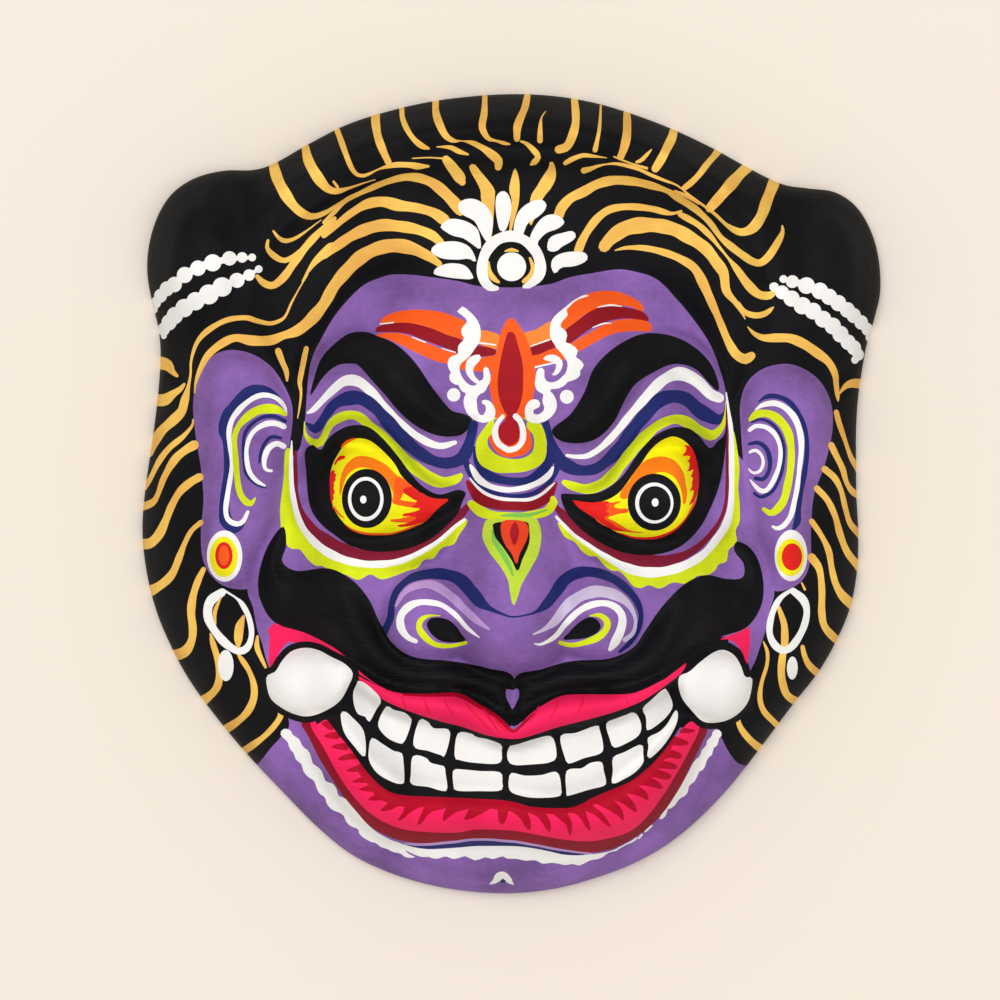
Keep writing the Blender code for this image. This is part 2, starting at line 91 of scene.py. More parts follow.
# Spacing of the points that the surface is built from, in millimetres on the plan
RIM_STEP = 1.6
FRONT_STEP = 1.25
BACK_STEP = 3.0
STROKE_STEP = 1.3
AREA_STEP = 1.4
FORM_STEP = 1.4
CLOSEST = 0.55
RIM_INSET = 0.02
SLIVER = 5 * RIM_INSET

# Turns in degrees at which the rolled side has its rows of points
ROLL_ANGLES = (4, 8, 12, 16, 20, 25, 30, 36, 42, 49)

# Steps from each drawn point to the next, and the height of a row of points as a share of their spacing
PIECE_STEPS = 12
ROW_SHARE = 0.866

# How many spots are measured against a line at a time
CHUNK = 2000

# Grids that the moulded forms are read from on each side, in millimetres, and how often the back is smoothed
FRONT_GRID = 1.0
BACK_GRID = 3.0
BACK_BLURS = 4

# How far from the rim the forms reach their full height, in millimetres
RIM_FADE = 12.0

# How sharply two raised forms keep their own edges where they meet
BLEND_POWER = 5.0

# The broad swelling of the face: its middle, half sizes, how square it is, and where its shoulder starts
FACE_MIDDLE = (0, -20)
FACE_HALF = (84, 118)
FACE_SQUARENESS = 2.4
FACE_SHOULDER = 0.72

# A stroke's width wavers by these shares, at these paces along it, and never gets thinner than this
WAVER = ((0.05, 0.9), (0.04, 0.37))
THINNEST = 0.25

# Turns in degrees of the points that round the ends of a stroke
CAP_TURNS = (-45, 0, 45)

# Least number of points round an oval, and how many more it gets per millimetre of half width
OVAL_LEAST = 10
OVAL_PER_MM = 6

# Share of a stroke's half width, beside its middle line, that is covered even where the stroke folds
STROKE_COVER = 0.45

# Where each stroke's bristle marks start, from the place of its first point, and the size of their map
STROKE_OFFSET = (7, 3)
BRUSH_UNIT = 0.01

# The black line round the fang balls, in millimetres, and the angle in degrees above which an edge is sharp
BALL_LINE = 2.4
SHARP_ANGLE = 60

# Outline of the whole mask, anticlockwise from the middle of the right side
OUTLINE = [
    (129.6, 0), (129.5, 12), (129.5, 24), (130.2, 36), (131.6, 46), (133.6, 57), (136.6, 67),
    (138.6, 77), (137.9, 89), (134.9, 99.5), (129.5, 108.3), (121.5, 113.7), (111, 115.2),
    (101.5, 116.8), (90, 122.3), (75.3, 130.4), (60.5, 137.4), (46.4, 142.8), (31.3, 147.3),
    (15.8, 149.9), (0, 150.6), (-15.7, 149.7), (-31.4, 147.6), (-46.8, 144), (-61.9, 139.1),
    (-76.1, 131.9), (-89, 124.6), (-97, 122.1), (-108, 121.8), (-118.5, 119.2), (-127, 113.7),
    (-132.6, 105.5), (-136, 95), (-136.9, 84), (-135.2, 73), (-132.6, 62), (-131.9, 51),
    (-133, 36), (-135, 20), (-137.5, 3), (-138.7, -13), (-137.3, -28), (-133.7, -43),
    (-128.2, -56.5), (-121, -69.8), (-110.7, -84), (-99, -98), (-86, -111.8), (-73, -125),
    (-60.2, -135.3), (-46.2, -142.1), (-31.1, -146.7), (-15.7, -149.3), (0, -150),
    (15.6, -148.4), (30.7, -144.5), (45.2, -139.1), (58.6, -131.6), (71.5, -121),
    (83, -108.7), (94.5, -94), (105.5, -79.3), (115.5, -66.5), (122.8, -53.5),
    (127.6, -41.3), (129.9, -28), (130.3, -14),
]

# Domes: centre x and y, half width, half height, turn in degrees, rise, sharpness of the edge
DOMES = [
    (0, -46.5, 25, 22, 0, NOSE_RISE, 0.8),
    (-31, -45.5, 19, 18, 0, WING_RISE, 0.8),
    (31.5, -45, 19, 18, 0, WING_RISE, 0.8),
    (-54.5, 1, 20, 18, 0, EYE_RISE, 0.7),
    (54.5, 0, 20, 18, 0, EYE_RISE, 0.7),
    (-76, -70.2, 16.5, 13.5, 0, BALL_RISE, 0.6),
    (76, -71.6, 14.5, 14.2, 0, BALL_RISE, 0.6),
    (-121, 88, 20, 30, 0, BUN_RISE, 1.0),
    (121, 86, 20, 28, 0, BUN_RISE, 1.0),
    (-70, -38, 36, 26, 0, CHEEK_RISE, 1.2),
    (70, -38, 36, 26, 0, CHEEK_RISE, 1.2),
    (0, 60, 52, 30, 0, FOREHEAD_RISE, 1.2),
    (0, 16, 14, 15, 0, FOREHEAD_RISE, 1.0),
    (0, -138, 50, 14, 0, CHIN_RISE, 1.2),
]

# Sunk hollows, in the same order of values
HOLLOWS = [
    (-55, -1, 31, 26, 0, SOCKET_DEPTH, 1.0),
    (54, -2, 31, 26, 0, SOCKET_DEPTH, 1.0),
    (-25, -50, 8.5, 5, -25, NOSTRIL_DEPTH, 1.0),
    (27, -50, 8.5, 5, 25, NOSTRIL_DEPTH, 1.0),
    (-95, 14, 12, 25, 0, CONCHA_DEPTH, 1.0),
    (97, 11, 12, 25, 0, CONCHA_DEPTH, 1.0),
    (-102, 106, 13, 13, 0, GROOVE_DEPTH, 1.2),
    (103, 102, 13, 13, 0, GROOVE_DEPTH, 1.2),
]

# Ridges: rise and sharpness, then the middle line as x, y, half width, share of the rise
RIDGES = [
    (NOSE_RISE, 1.2, [
        (0.5, 28, 10, 0.15), (0.5, 12, 14, 0.38), (0, -5, 17, 0.52), (0, -20, 21, 0.68),
        (0, -34, 24, 0.84), (0, -46, 25, 0.9),
    ]),
    (EYE_RISE, 0.8, [(-55, 0, 17, 0.95), (-40, -3, 11, 0.6), (-24, -2.5, 4, 0.25)]),
    (EYE_RISE, 0.8, [(55, 0, 17, 0.95), (40, -4, 11, 0.6), (24, -3.5, 4, 0.25)]),
    (BROW_RISE, 1.0, [
        (-75, 40, 3.5, 0.4), (-68, 49.5, 6.5, 0.8), (-60, 54.3, 7, 1), (-52, 52.5, 8, 1),
        (-44, 45, 8.5, 1), (-36, 36, 8.5, 1), (-28, 29, 7, 1), (-21, 26, 5, 0.9), (-15, 27, 3, 0.6),
    ]),
    (BROW_RISE, 1.0, [
        (77, 39, 3.5, 0.4), (74, 46, 6, 0.8), (67, 52, 7, 1), (58, 54.5, 7.5, 1), (49, 52, 8, 1),
        (42, 47, 8.5, 1), (37, 39, 8.5, 1), (31, 30.5, 8, 1), (25, 24.5, 5.5, 0.9), (17, 22, 3, 0.6),
    ]),
    (LID_RISE, 0.8, [
        (-76, 8, 4, 0.5), (-72, 16, 4.5, 0.8), (-66, 22, 5, 1), (-57, 24, 5, 1), (-49, 20, 5, 1),
        (-43, 13, 5, 1), (-37, 6.5, 4.5, 0.9), (-29, 1.5, 4, 0.7), (-19, 0.5, 3, 0.4),
    ]),
    (LID_RISE, 0.8, [
        (76, 8, 4, 0.5), (72, 16, 4.5, 0.8), (66, 21.5, 5, 1), (57, 23.5, 5, 1), (49, 18, 5, 1),
        (43, 10, 5, 1), (37, 2.5, 4.5, 0.9), (29, -1, 4, 0.7), (20, -1, 3, 0.4),
    ]),
    (UNDER_EYE_RISE, 0.9, [
        (-81, 8, 4, 0.6), (-79, -4, 4.5, 0.9), (-74, -13, 5, 1), (-66, -20, 5.5, 1),
        (-56, -23.5, 6, 1), (-46, -24, 6, 1), (-36, -21.5, 5.5, 1), (-27, -16, 5, 0.9), (-19, -9, 3, 0.5),
    ]),
    (UNDER_EYE_RISE, 0.9, [
        (82, 6, 4, 0.6), (79.5, -6, 4.5, 0.9), (75, -16, 5, 1), (67, -23, 5.5, 1),
        (57, -26, 6, 1), (46, -25.5, 6, 1), (36, -22, 5.5, 1), (27, -16, 5, 0.9), (19, -8, 3, 0.5),
    ]),
    (UPPER_LIP_RISE, 1.0, [
        (-61, -64, 3.5, 0.55), (-50, -72.5, 5, 0.8), (-40, -77, 6.5, 0.95), (-28, -78.5, 7, 1),
        (-15, -81.5, 7.5, 1), (0, -88, 6.5, 1), (14, -82, 7.5, 1), (27, -79.5, 7, 1), (40, -77.5, 6.5, 0.95),
        (52, -72.5, 5, 0.8), (64, -64.5, 3.5, 0.55),
    ]),
    (LOWER_LIP_RISE, 1.0, [
        (-73, -86, 7, 0.55), (-66, -98, 9, 0.8), (-56, -111, 10, 0.95), (-43, -120, 11, 1),
        (-25, -121.5, 11, 1), (0, -122, 10.5, 1), (20, -124.5, 11, 1), (38, -121, 11.5, 1),
        (53, -109, 11, 0.95), (62, -97, 9, 0.8), (69, -86.5, 6, 0.55),
    ]),
    (HAIR_ROLL_RISE, 1.0, [
        (-92, 106, 9, 0.6), (-78, 119, 11, 1), (-60, 128.5, 12, 1), (-30, 139, 12, 1), (0, 141.5, 12, 1),
        (30, 138, 12, 1), (60, 127.5, 12, 1), (78, 117, 11, 1), (91, 106, 9, 0.6),
    ]),
]

# Grooves, in the same order of values
GROOVES = [
    (GROOVE_DEPTH, 1.5, [
        (-95, 84, 6, 0.3), (-87, 100, 8, 0.6), (-71, 113, 9, 0.8), (-50, 122, 9, 0.8),
        (-25, 127, 9, 0.8), (0, 128, 9, 0.8), (25, 126.5, 9, 0.8), (50, 121.5, 9, 0.8),
        (70, 111, 9, 0.8), (86, 98, 8, 0.6), (94, 82, 6, 0.3),
    ]),
    (GROOVE_DEPTH, 1.2, [(-134, 47, 5, 0.8), (-126, 43, 5, 0.8), (-119, 36, 4, 0.3)]),
    (GROOVE_DEPTH, 1.2, [(132, 48, 5, 0.8), (126, 44, 5, 0.8), (121, 38, 4, 0.3)]),
]

# Pads with their own carved outline
LEFT_MOUSTACHE = [
    (-85, -12), (-89, -16), (-92.5, -23), (-94.5, -32), (-93.5, -40), (-88, -48), (-76, -52),
    (-64, -58.5), (-55, -67), (-46, -72.5), (-36, -74), (-20, -74.5), (-10, -79), (0, -86),
    (1, -68.5), (-9, -64.5), (-22, -62), (-36, -60.5), (-44, -55.5), (-49, -47.5), (-53, -39),
    (-59, -32), (-68, -27.5), (-80, -28.5), (-85.5, -25), (-84, -19),
]
RIGHT_MOUSTACHE = [
    (84, -17.5), (89, -20), (92.5, -26), (94, -35), (92.5, -43), (87, -50), (76, -54),
    (66, -62), (55, -69), (46, -73), (34, -74), (20, -74.5), (10, -79), (0, -86),
    (1, -68.5), (11, -65), (22, -62), (36, -61), (45, -57), (50, -50), (56, -41.5),
    (64, -33.5), (72, -30), (80, -31.5), (86, -31), (86.5, -26), (83, -21),
]
LEFT_EAR = [
    (-105, 54), (-97, 52.5), (-90, 48), (-85, 41), (-81.8, 33), (-82, 24), (-84, 12), (-86, 0),
    (-89, -12), (-94, -24), (-96.5, -34), (-103, -35.3), (-110, -32.5), (-115, -25), (-116, -14),
    (-115, -2), (-116, 10), (-118, 22), (-119, 34), (-117, 45), (-112, 51.5),
]
RIGHT_EAR = [
    (102, 48.8), (94, 47), (88, 42), (85.3, 34), (85.5, 24), (86.5, 12), (88.5, 0), (91, -12),
    (94.5, -24), (96.5, -35), (103, -35.5), (109, -31.5), (111.6, -24), (111.8, -12),
    (113, 0), (117, 11), (120, 24), (119.5, 34), (115.5, 42), (109, 47),
]
FRONT_HAIR = [
    (-80, 34), (-77, 47), (-72, 58), (-66, 67), (-58, 76), (-48, 82), (-36, 83), (-20, 80), (0, 77.5),
    (18, 79.5), (34, 84), (48, 83), (58, 77.5), (66, 68.5), (73, 57), (78, 45), (81, 34),
    (90, 52), (96, 66), (94, 86), (82, 101), (66, 112), (45, 119.5), (20, 124), (0, 125),
    (-22, 124), (-46, 119), (-67, 111), (-83, 101), (-94, 88), (-98, 68), (-92, 55),
]
TEETH_BED = [
    (-60, -70), (-50, -77), (-36, -83), (-18, -88), (0, -92), (18, -88), (36, -83), (52, -76),
    (61, -70), (64, -80), (60, -92), (50, -103), (38, -110.5), (24, -115), (8, -115.5),
    (-10, -113), (-28, -112.5), (-42, -111), (-53, -103), (-62, -90), (-66, -80),
]
PADS = [
    (MOUSTACHE_RISE, 9.0, LEFT_MOUSTACHE),
    (MOUSTACHE_RISE, 9.0, RIGHT_MOUSTACHE),
    (EAR_RISE, 9.0, LEFT_EAR),
    (EAR_RISE, 9.0, RIGHT_EAR),
    (HAIR_RISE, 13.0, FRONT_HAIR),
]
SUNK_PADS = [
    (TEETH_DEPTH, 6.0, TEETH_BED),
]

# The purple skin of the face from hairline to chin; beyond the outline it is cut off at the rim
SKIN = [
    (-80, 15.8), (-78.3, 20), (-77, 28), (-76.3, 38), (-75.5, 46), (-74, 52), (-71, 58), (-68, 63.5),
    (-65, 68), (-60, 73.8), (-55, 78.3), (-50, 80.5), (-45, 82), (-38, 82), (-30, 81), (-20, 79.5),
    (-12, 77.5), (0, 77), (8, 77.5), (15, 78.5), (22, 81), (30, 82.5), (40, 84), (48, 82.7),
    (53, 81), (57, 78), (61, 73.5), (65, 69), (71, 61), (75, 54), (77.5, 47), (79.5, 40), (81, 30),
    (82.5, 22), (84, 16), (86, 13), (92, 8), (96, -8), (98, -24), (98, -37), (96, -44), (95, -50),
    (93, -56), (91, -62), (88, -68), (84, -77), (77, -87), (78.5, -91), (81, -96), (84.5, -100.5),
    (88, -102), (97, -106), (88, -126), (62, -148), (30, -160), (0, -164), (-35, -162), (-62, -150),
    (-90, -124), (-108, -104), (-96.5, -101.7), (-94.5, -100.5), (-90.5, -95.5), (-86.5, -91),
    (-83, -86), (-86, -77), (-90, -66), (-91.5, -62), (-93, -56), (-95, -50), (-96.5, -42),
    (-98.5, -36), (-98, -24), (-94, -8), (-88, 8),
]

# Golden strands and tufts of the hair
HAIR_STROKES = [
    [(-89.5, 124.3, 4), (-87.5, 118), (-84, 111.5, 4), (-80.5, 107), (-76.5, 104.3, 3), (-73, 104),
     (-69, 105.5, 1.6), (-66, 107.5, 1.3), (-63, 109.5, 1)],
    [(-77.4, 130.5, 3.2), (-76, 125), (-73, 119.5, 4), (-70, 115.5), (-68, 114, 3), (-65, 113.4, 2.2),
     (-60, 114.8, 1), (-55, 116.5, 0.5), (-51, 117.7, 0.4)],
    [(-66.5, 117, 0.9), (-65, 115, 1.2)],
    [(-89, 98.5, 0.8), (-87, 96, 1.4), (-84.5, 94.7, 1.8), (-81, 95.5), (-77, 98, 0.8), (-71, 102.5, 0.3)],
    [(-91, 95, 1), (-91.2, 92, 1.6), (-88.5, 89, 2.2), (-85, 87.3), (-81.5, 88.5), (-79, 90.5, 2)],
    [(-95, 81.5, 1.6), (-92.5, 79, 2.4), (-89, 78), (-85, 81, 3), (-81, 86.5, 3), (-77, 92),
     (-72, 97.5, 2.5), (-66, 103, 1.6)],
    [(-75, 93.5, 0.6), (-70, 98.5, 1.4), (-66, 102, 1.4)],
    [(-78, 79.5, 0.5), (-75, 84.5, 1.5), (-72, 88), (-67, 92, 4)],
    [(-65.5, 137, 2.3), (-64, 133), (-62, 127.5, 2), (-60, 122.5), (-58, 119.8), (-55.5, 119.2, 1.4),
     (-53, 120), (-50, 121.5, 0.6), (-47, 122.5), (-43, 123.3, 2), (-38, 123.2), (-35, 122.7, 2.5),
     (-31, 122.7, 1)],
    [(-51, 142.5, 3.6), (-51, 140), (-50, 134, 3), (-48, 128.5), (-46, 124.2, 2.5)],
    [(-41.2, 145.2, 1.8), (-40.8, 141), (-39, 136.5, 2), (-36.5, 132.8), (-33.5, 130.3, 2.2),
     (-31, 129.4, 1)],
    [(-28.5, 148.1, 2.5), (-28.3, 143), (-26.7, 138, 3), (-24.5, 134), (-21.5, 132.2, 1.5),
     (-18.5, 132.2, 0.4), (-14.5, 131.4, 1.8), (-11, 129.7), (-8, 127.6, 3), (-5, 124.8, 3.3),
     (-5, 122.2, 2.6)],
    [(-10, 149.7, 2), (-10.2, 143), (-11, 137.5, 2.7), (-9.5, 134, 2), (-8, 132.7), (-6, 132.3, 1),
     (-3, 131.4, 1.4), (-0.7, 131, 0.6)],
    [(6, 150, 2.4), (5, 145), (3, 140), (2.1, 137, 3), (2, 133, 2.5)],
    [(3.5, 132, 0.8), (5.5, 131.2), (8, 129, 2), (9.9, 126.3, 2.2), (8.3, 124, 2.4), (7.3, 123.3, 1)],
    [(12.8, 143.5, 0.3), (11.2, 141, 0.6), (10.7, 137, 1.6), (10.6, 132.3, 2)],
    [(23.6, 148.4, 2.8), (24, 143), (23.8, 138, 3), (22.3, 133), (20.5, 130, 3.3), (17.6, 129, 3)],
    [(33.5, 146.2, 0.7), (33.2, 141), (32.7, 136, 1.4), (31.8, 131.5), (31.2, 128.8, 1.8)],
    [(43.3, 143.5, 2.7), (43.3, 139), (43, 134, 3.2), (42, 129.5), (40.7, 126.2, 2.8)],
    [(61, 137, 3.4), (60, 133.5), (58, 129.5, 3.3), (56, 125.5), (53.7, 121.8, 3)],
    [(50.5, 122, 1), (46, 123.3, 0.8), (42, 124.8), (38.3, 126.3, 0.6)],
    [(52.3, 129, 0.4), (50.5, 127, 1.4), (48.5, 125, 1.6), (46.7, 124.3, 1)],
    [(20, 123.8, 1.6), (22.5, 125.3, 2), (26.5, 126.8), (30, 126.6, 1.2), (35.5, 125.9, 0.3)],
    [(27, 121, 2.2), (29.5, 121.7, 1.8), (32, 122.7), (35.5, 123.5, 0.6), (40, 123.6, 1.3), (47, 121.8),
     (52, 119.5), (57, 117.5, 1.2), (62, 115.5, 0.6), (67, 111.5), (72, 107.8, 1), (76, 104.8),
     (80, 101, 1.5), (84, 98.5, 2.5), (87, 98.2, 3), (90.5, 100, 3.8), (93.5, 104.5, 4.3), (95.5, 110),
     (98, 116, 4), (99.5, 120, 4)],
    [(77.5, 129, 2.8), (76, 127), (73, 123.5, 2.4), (70, 119.5), (67, 116.5), (64.5, 114.6, 2)],
    [(89.2, 123.6, 4), (85.5, 120), (81.5, 115.5, 4.3), (78, 111.5), (74, 107, 3.5)],
    [(17.5, 104, 4), (18.7, 107), (22, 110.5, 3.7), (27, 113), (32, 115.8, 3.5), (38, 117.3, 3.8),
     (45, 117), (52, 115.5, 2.8), (58, 113.5, 2.2), (62, 111, 3), (67, 107.8), (70, 105.5, 2.4),
     (74, 101.5), (78, 96, 2.2), (82, 92.5, 2.8), (86, 89.5), (90, 87, 2.8), (93, 86.6, 3), (96, 89),
     (99, 93.5, 2.8), (101.3, 98, 1.5), (101.3, 100.5, 0.8)],
    [(61, 113.5, 0.8), (65, 111.8, 1.3), (70, 108.7, 0.8)],
    [(24.8, 90.7, 3.2), (26, 94), (28.5, 98.5), (32, 103, 3), (36, 106, 2.7), (41, 107.2),
     (47, 107.2, 2.6), (53, 106.4), (57, 105.3, 2), (60, 104.8, 1.2), (63.3, 105.8, 0.8)],
    [(62.8, 104.5, 2), (66, 102.8, 2.5), (70, 100.3), (74, 96.5, 2), (77, 92.8, 1.2), (80.5, 88.5, 1),
     (84, 84, 2.5), (88, 78.5, 3.3), (92, 74.8, 3.3), (96, 74.3, 3), (98.5, 75.8, 1.5)],
    [(34.5, 92.5, 4.5), (37, 95.5), (42, 99, 5.5), (48, 100.4, 5.8), (55, 100.2), (61, 98.7, 5),
     (66, 96), (70, 93.5, 4.6), (73, 91), (76, 87, 4.3), (79, 82.5), (80, 76, 3), (83.5, 71.5, 2.2),
     (85.5, 68.5, 1.3), (87, 65.5, 0.4)],
    [(84.5, 71.5, 1), (87, 68, 2), (91, 66.8, 2.3), (94.5, 67.5, 2.3), (97, 69.3, 1.2), (97.8, 70, 0.4)],
    [(38.5, 91, 0.4), (43, 92, 1.5), (50, 91.8, 2.2), (57, 90.2, 2.5), (63, 87.8, 3), (68, 84.5, 3.3),
     (71, 79.5, 3.5), (75, 70.5, 3), (78, 63.5, 2.6), (80.5, 57.5, 2.8), (83.5, 52.5, 3.5),
     (87, 50.5, 4), (89.5, 51.8, 3)],
    [(-19, 106, 4.5), (-22, 109.5), (-26, 113.5, 4), (-30, 116.5), (-35, 118.3, 3.5), (-40, 118.5, 2.9),
     (-45, 117.3, 2.2), (-50, 115.5, 2.4), (-57, 112.3, 1.9), (-62, 109.7), (-66, 105.5),
     (-70, 101.5, 1.4)],
    [(-25, 102.3, 4), (-29, 105), (-35, 106.8, 3.5), (-42, 107.8, 4.2), (-48, 109.2), (-54, 108.3, 3.7),
     (-60, 104.8, 2.7), (-66, 100), (-70, 96.5, 2)],
    [(-26.5, 94, 3), (-30, 96.8), (-36, 99, 3.8), (-42, 100, 4.5), (-48, 100.4), (-54, 99, 4.3),
     (-60, 96.2), (-65, 92.8, 3.7), (-70, 89.3, 3)],
    [(-27, 86, 2.5), (-31, 88.8, 3.5), (-37, 91.7, 4.5), (-43, 92.8, 5.2), (-49, 92), (-55, 89.3, 5),
     (-60, 85), (-66, 78, 4.5), (-70, 71, 4), (-75, 65, 4.5), (-80, 61, 4), (-85, 59.3, 3),
     (-90, 57.5, 3.5), (-97, 57.5, 3.8), (-103, 58.5, 3), (-108, 56.5, 3), (-113, 52.5, 2.5),
     (-116, 47.5, 2.2), (-118, 42, 1), (-118.5, 38, 0.5)],
    [(-28, 130, 0.4), (-23, 129.8, 1.6), (-19.5, 128.2, 1.8), (-16.3, 127.2, 0.8)],
    [(-37, 125.7, 0.4), (-31, 126), (-26, 125.7, 0.6)],
    [(-24.5, 125.3, 3), (-22, 122, 4), (-19.5, 118.5, 4.3), (-18.4, 116.5, 2.5)],
    [(-76, 82, 0.5), (-79, 77, 0.5), (-82, 71.5, 0.8), (-84, 67, 1), (-86, 65), (-90, 63.8, 1.5),
     (-95, 64.8), (-99, 66, 2), (-105, 65.5), (-110, 63.5, 2), (-115, 60, 2), (-118, 56),
     (-119.8, 50, 1), (-120, 45, 0.8), (-121, 40, 1.5), (-122.3, 35, 3.2), (-123.5, 31, 3.8),
     (-127, 27.5, 3.8), (-131, 24, 3.5), (-134, 20, 4), (-136.5, 16, 4.5)],
    [(-119, 28, 0.6), (-119.5, 25.5, 1), (-123, 21.5, 2), (-128, 17.5, 2.2), (-132, 12.5, 2.2),
     (-135.5, 6, 2), (-138, 2.5, 2.5)],
    [(-118.5, 18.5, 3.5), (-122, 16.5, 3), (-126, 13, 3), (-130, 6.5, 2.5), (-132.5, 0, 2),
     (-134.5, -3, 2.5), (-139.5, -5, 3)],
    [(-116.5, 6.5, 3), (-120, 4.5, 3), (-124, 1, 2.8), (-127, -4, 2.8), (-129.5, -10, 3),
     (-132, -15, 3.5), (-135.5, -18.3, 3.8), (-139.5, -18.6, 3.8)],
    [(-116, -10.5, 2), (-119.5, -13.5, 1.8), (-122, -18, 2), (-124, -23, 2.5), (-126.5, -29, 2.8),
     (-129.5, -32.5, 3.3), (-134, -35.5, 3.8), (-138, -37, 4.5)],
    [(-115, -28, 2), (-117, -32, 2.5), (-119, -38, 2.8), (-119.8, -44, 3), (-119.2, -50, 3),
     (-119.8, -55, 3.2), (-122.5, -59, 3.8), (-128, -61, 4.5)],
    [(-112.5, -52, 0.6), (-111.5, -56, 2.3), (-110, -61, 2.3), (-109.7, -65, 1.8), (-109.5, -70, 2.8),
     (-111.5, -74, 3), (-117, -78.5, 3.8)],
    [(-102, -60, 1), (-100.5, -62, 2), (-98, -66, 2), (-96.3, -71, 2.3), (-96.3, -76, 2.7),
     (-98.5, -81, 2.8), (-102.5, -85, 2.8), (-108.5, -89, 3.5)],
    [(-94.8, -53, 1), (-95, -57, 2), (-93.5, -61, 1.7), (-91.8, -64.5, 1)],
    [(-86.3, -80, 2), (-86.3, -83, 2.2), (-89, -87, 2.2), (-93, -91, 2.2), (-97, -94, 2.5),
     (-102, -97.5, 3)],
    [(-133.5, 50, 5), (-129, 48.5, 4), (-127, 46, 2.2), (-125.3, 44.5, 1.3)],
    [(-134.5, 35.5, 5), (-130, 35.5, 4.5), (-127, 37.5, 3), (-124, 39.5, 2), (-122.5, 41.3, 1)],
    [(-87, 53.5, 2.4), (-85.5, 49.5, 2.3), (-84, 46, 2), (-83.7, 42.5, 0.8)],
    [(-76.5, 54.5, 2), (-77.5, 50, 2), (-78.5, 45, 2), (-79, 41.5, 1.5), (-78.5, 38, 1),
     (-79, 33, 0.7), (-79.8, 28.5, 0.4)],
    [(88, 62.5, 0.4), (90.5, 60, 1.5), (94, 58.5, 2.5), (99, 58.5, 3.2), (104, 58.3, 3.6),
     (109, 56.3, 3.7), (114, 53, 3.4), (118.5, 49.5, 3), (121, 45, 2.5), (121.5, 41, 2.2),
     (122, 37, 1.5), (122.2, 35, 0.5)],
    [(122.5, 37.5, 0.5), (125, 40.5, 2), (128, 41.7, 3), (133, 41.4, 4)],
    [(121.5, 30.8, 2), (122.5, 27, 2.2), (125, 20, 1.6), (127.5, 13.5, 2), (131, 9, 3.5)],
    [(119.5, 18.5, 2.5), (121.5, 14.5, 2.3), (124, 9.5, 2.2), (125.5, 4.5, 2), (128, 1, 2.5),
     (131.5, -0.5, 3)],
    [(117, 9.5, 2.7), (121, 6, 2.5), (123.5, 1, 2), (125, -5, 2), (127, -11, 2.2), (131.5, -15.5, 3.5)],
    [(114, 2.3, 2.2), (118, -2, 2.5), (121, -8, 2.3), (123, -15, 2.5), (126, -22, 2.7),
     (131.5, -28.2, 3.8)],
    [(112, -10, 2.2), (115.5, -15, 2), (118.5, -21, 2.4), (119.8, -28, 2.2), (121.5, -34, 2.7),
     (124.5, -38.5, 3.5), (129.5, -42.5, 4.5)],
    [(112, -23.5, 3.2), (115, -28, 2.6), (116, -36, 2.6), (116, -44, 2.6), (117.5, -50, 2.8),
     (123.5, -56, 3.3)],
    [(108.8, -57, 1.5), (109.5, -60, 2), (111.5, -64, 2.3), (116.5, -68.5, 3.2)],
    [(94, -55, 0.5), (95.5, -59, 1.3), (95.3, -64, 1.4), (93.5, -70, 1.5), (92.8, -76, 1.8),
     (94.3, -81, 2.2), (98, -85, 2.3), (102, -88.7, 3)],
    [(84.5, -82.5, 1.8), (85, -86, 2), (87.5, -90, 2.3), (91.5, -94, 2.8), (95.5, -96.7, 3)],
    [(99, -40.5, 1), (100.3, -44, 1.8), (101.8, -49, 2.6), (102, -55.5, 2.6), (101.3, -60, 2.6),
     (100.8, -66, 3), (101.5, -71, 2.8), (103.5, -75.5, 2.8), (109, -79, 3)],
    [(108.3, -33, 0.6), (109.5, -35.5, 1)],
]

HAIR_TUFTS = [
    [(-15.8, 122.6), (-14, 123.5), (-11.5, 120.5), (-9, 117.5), (-6.8, 114.5), (-6.2, 111.5), (-8, 94),
     (-11.3, 109.8), (-11.5, 113), (-13, 116.5), (-15, 120)],
    [(1.3, 121.8), (2.6, 118.5), (3, 114), (2.7, 109), (1.8, 105), (-1, 96), (0, 109), (-0.9, 113.5),
     (0, 118.5)],
    [(14.2, 124.2), (15.5, 124.2), (16.5, 121), (16.3, 117.5), (14.5, 114), (11.5, 110), (7, 100),
     (7, 110.3), (9.5, 115), (11.5, 118.5), (13.8, 122)],
]

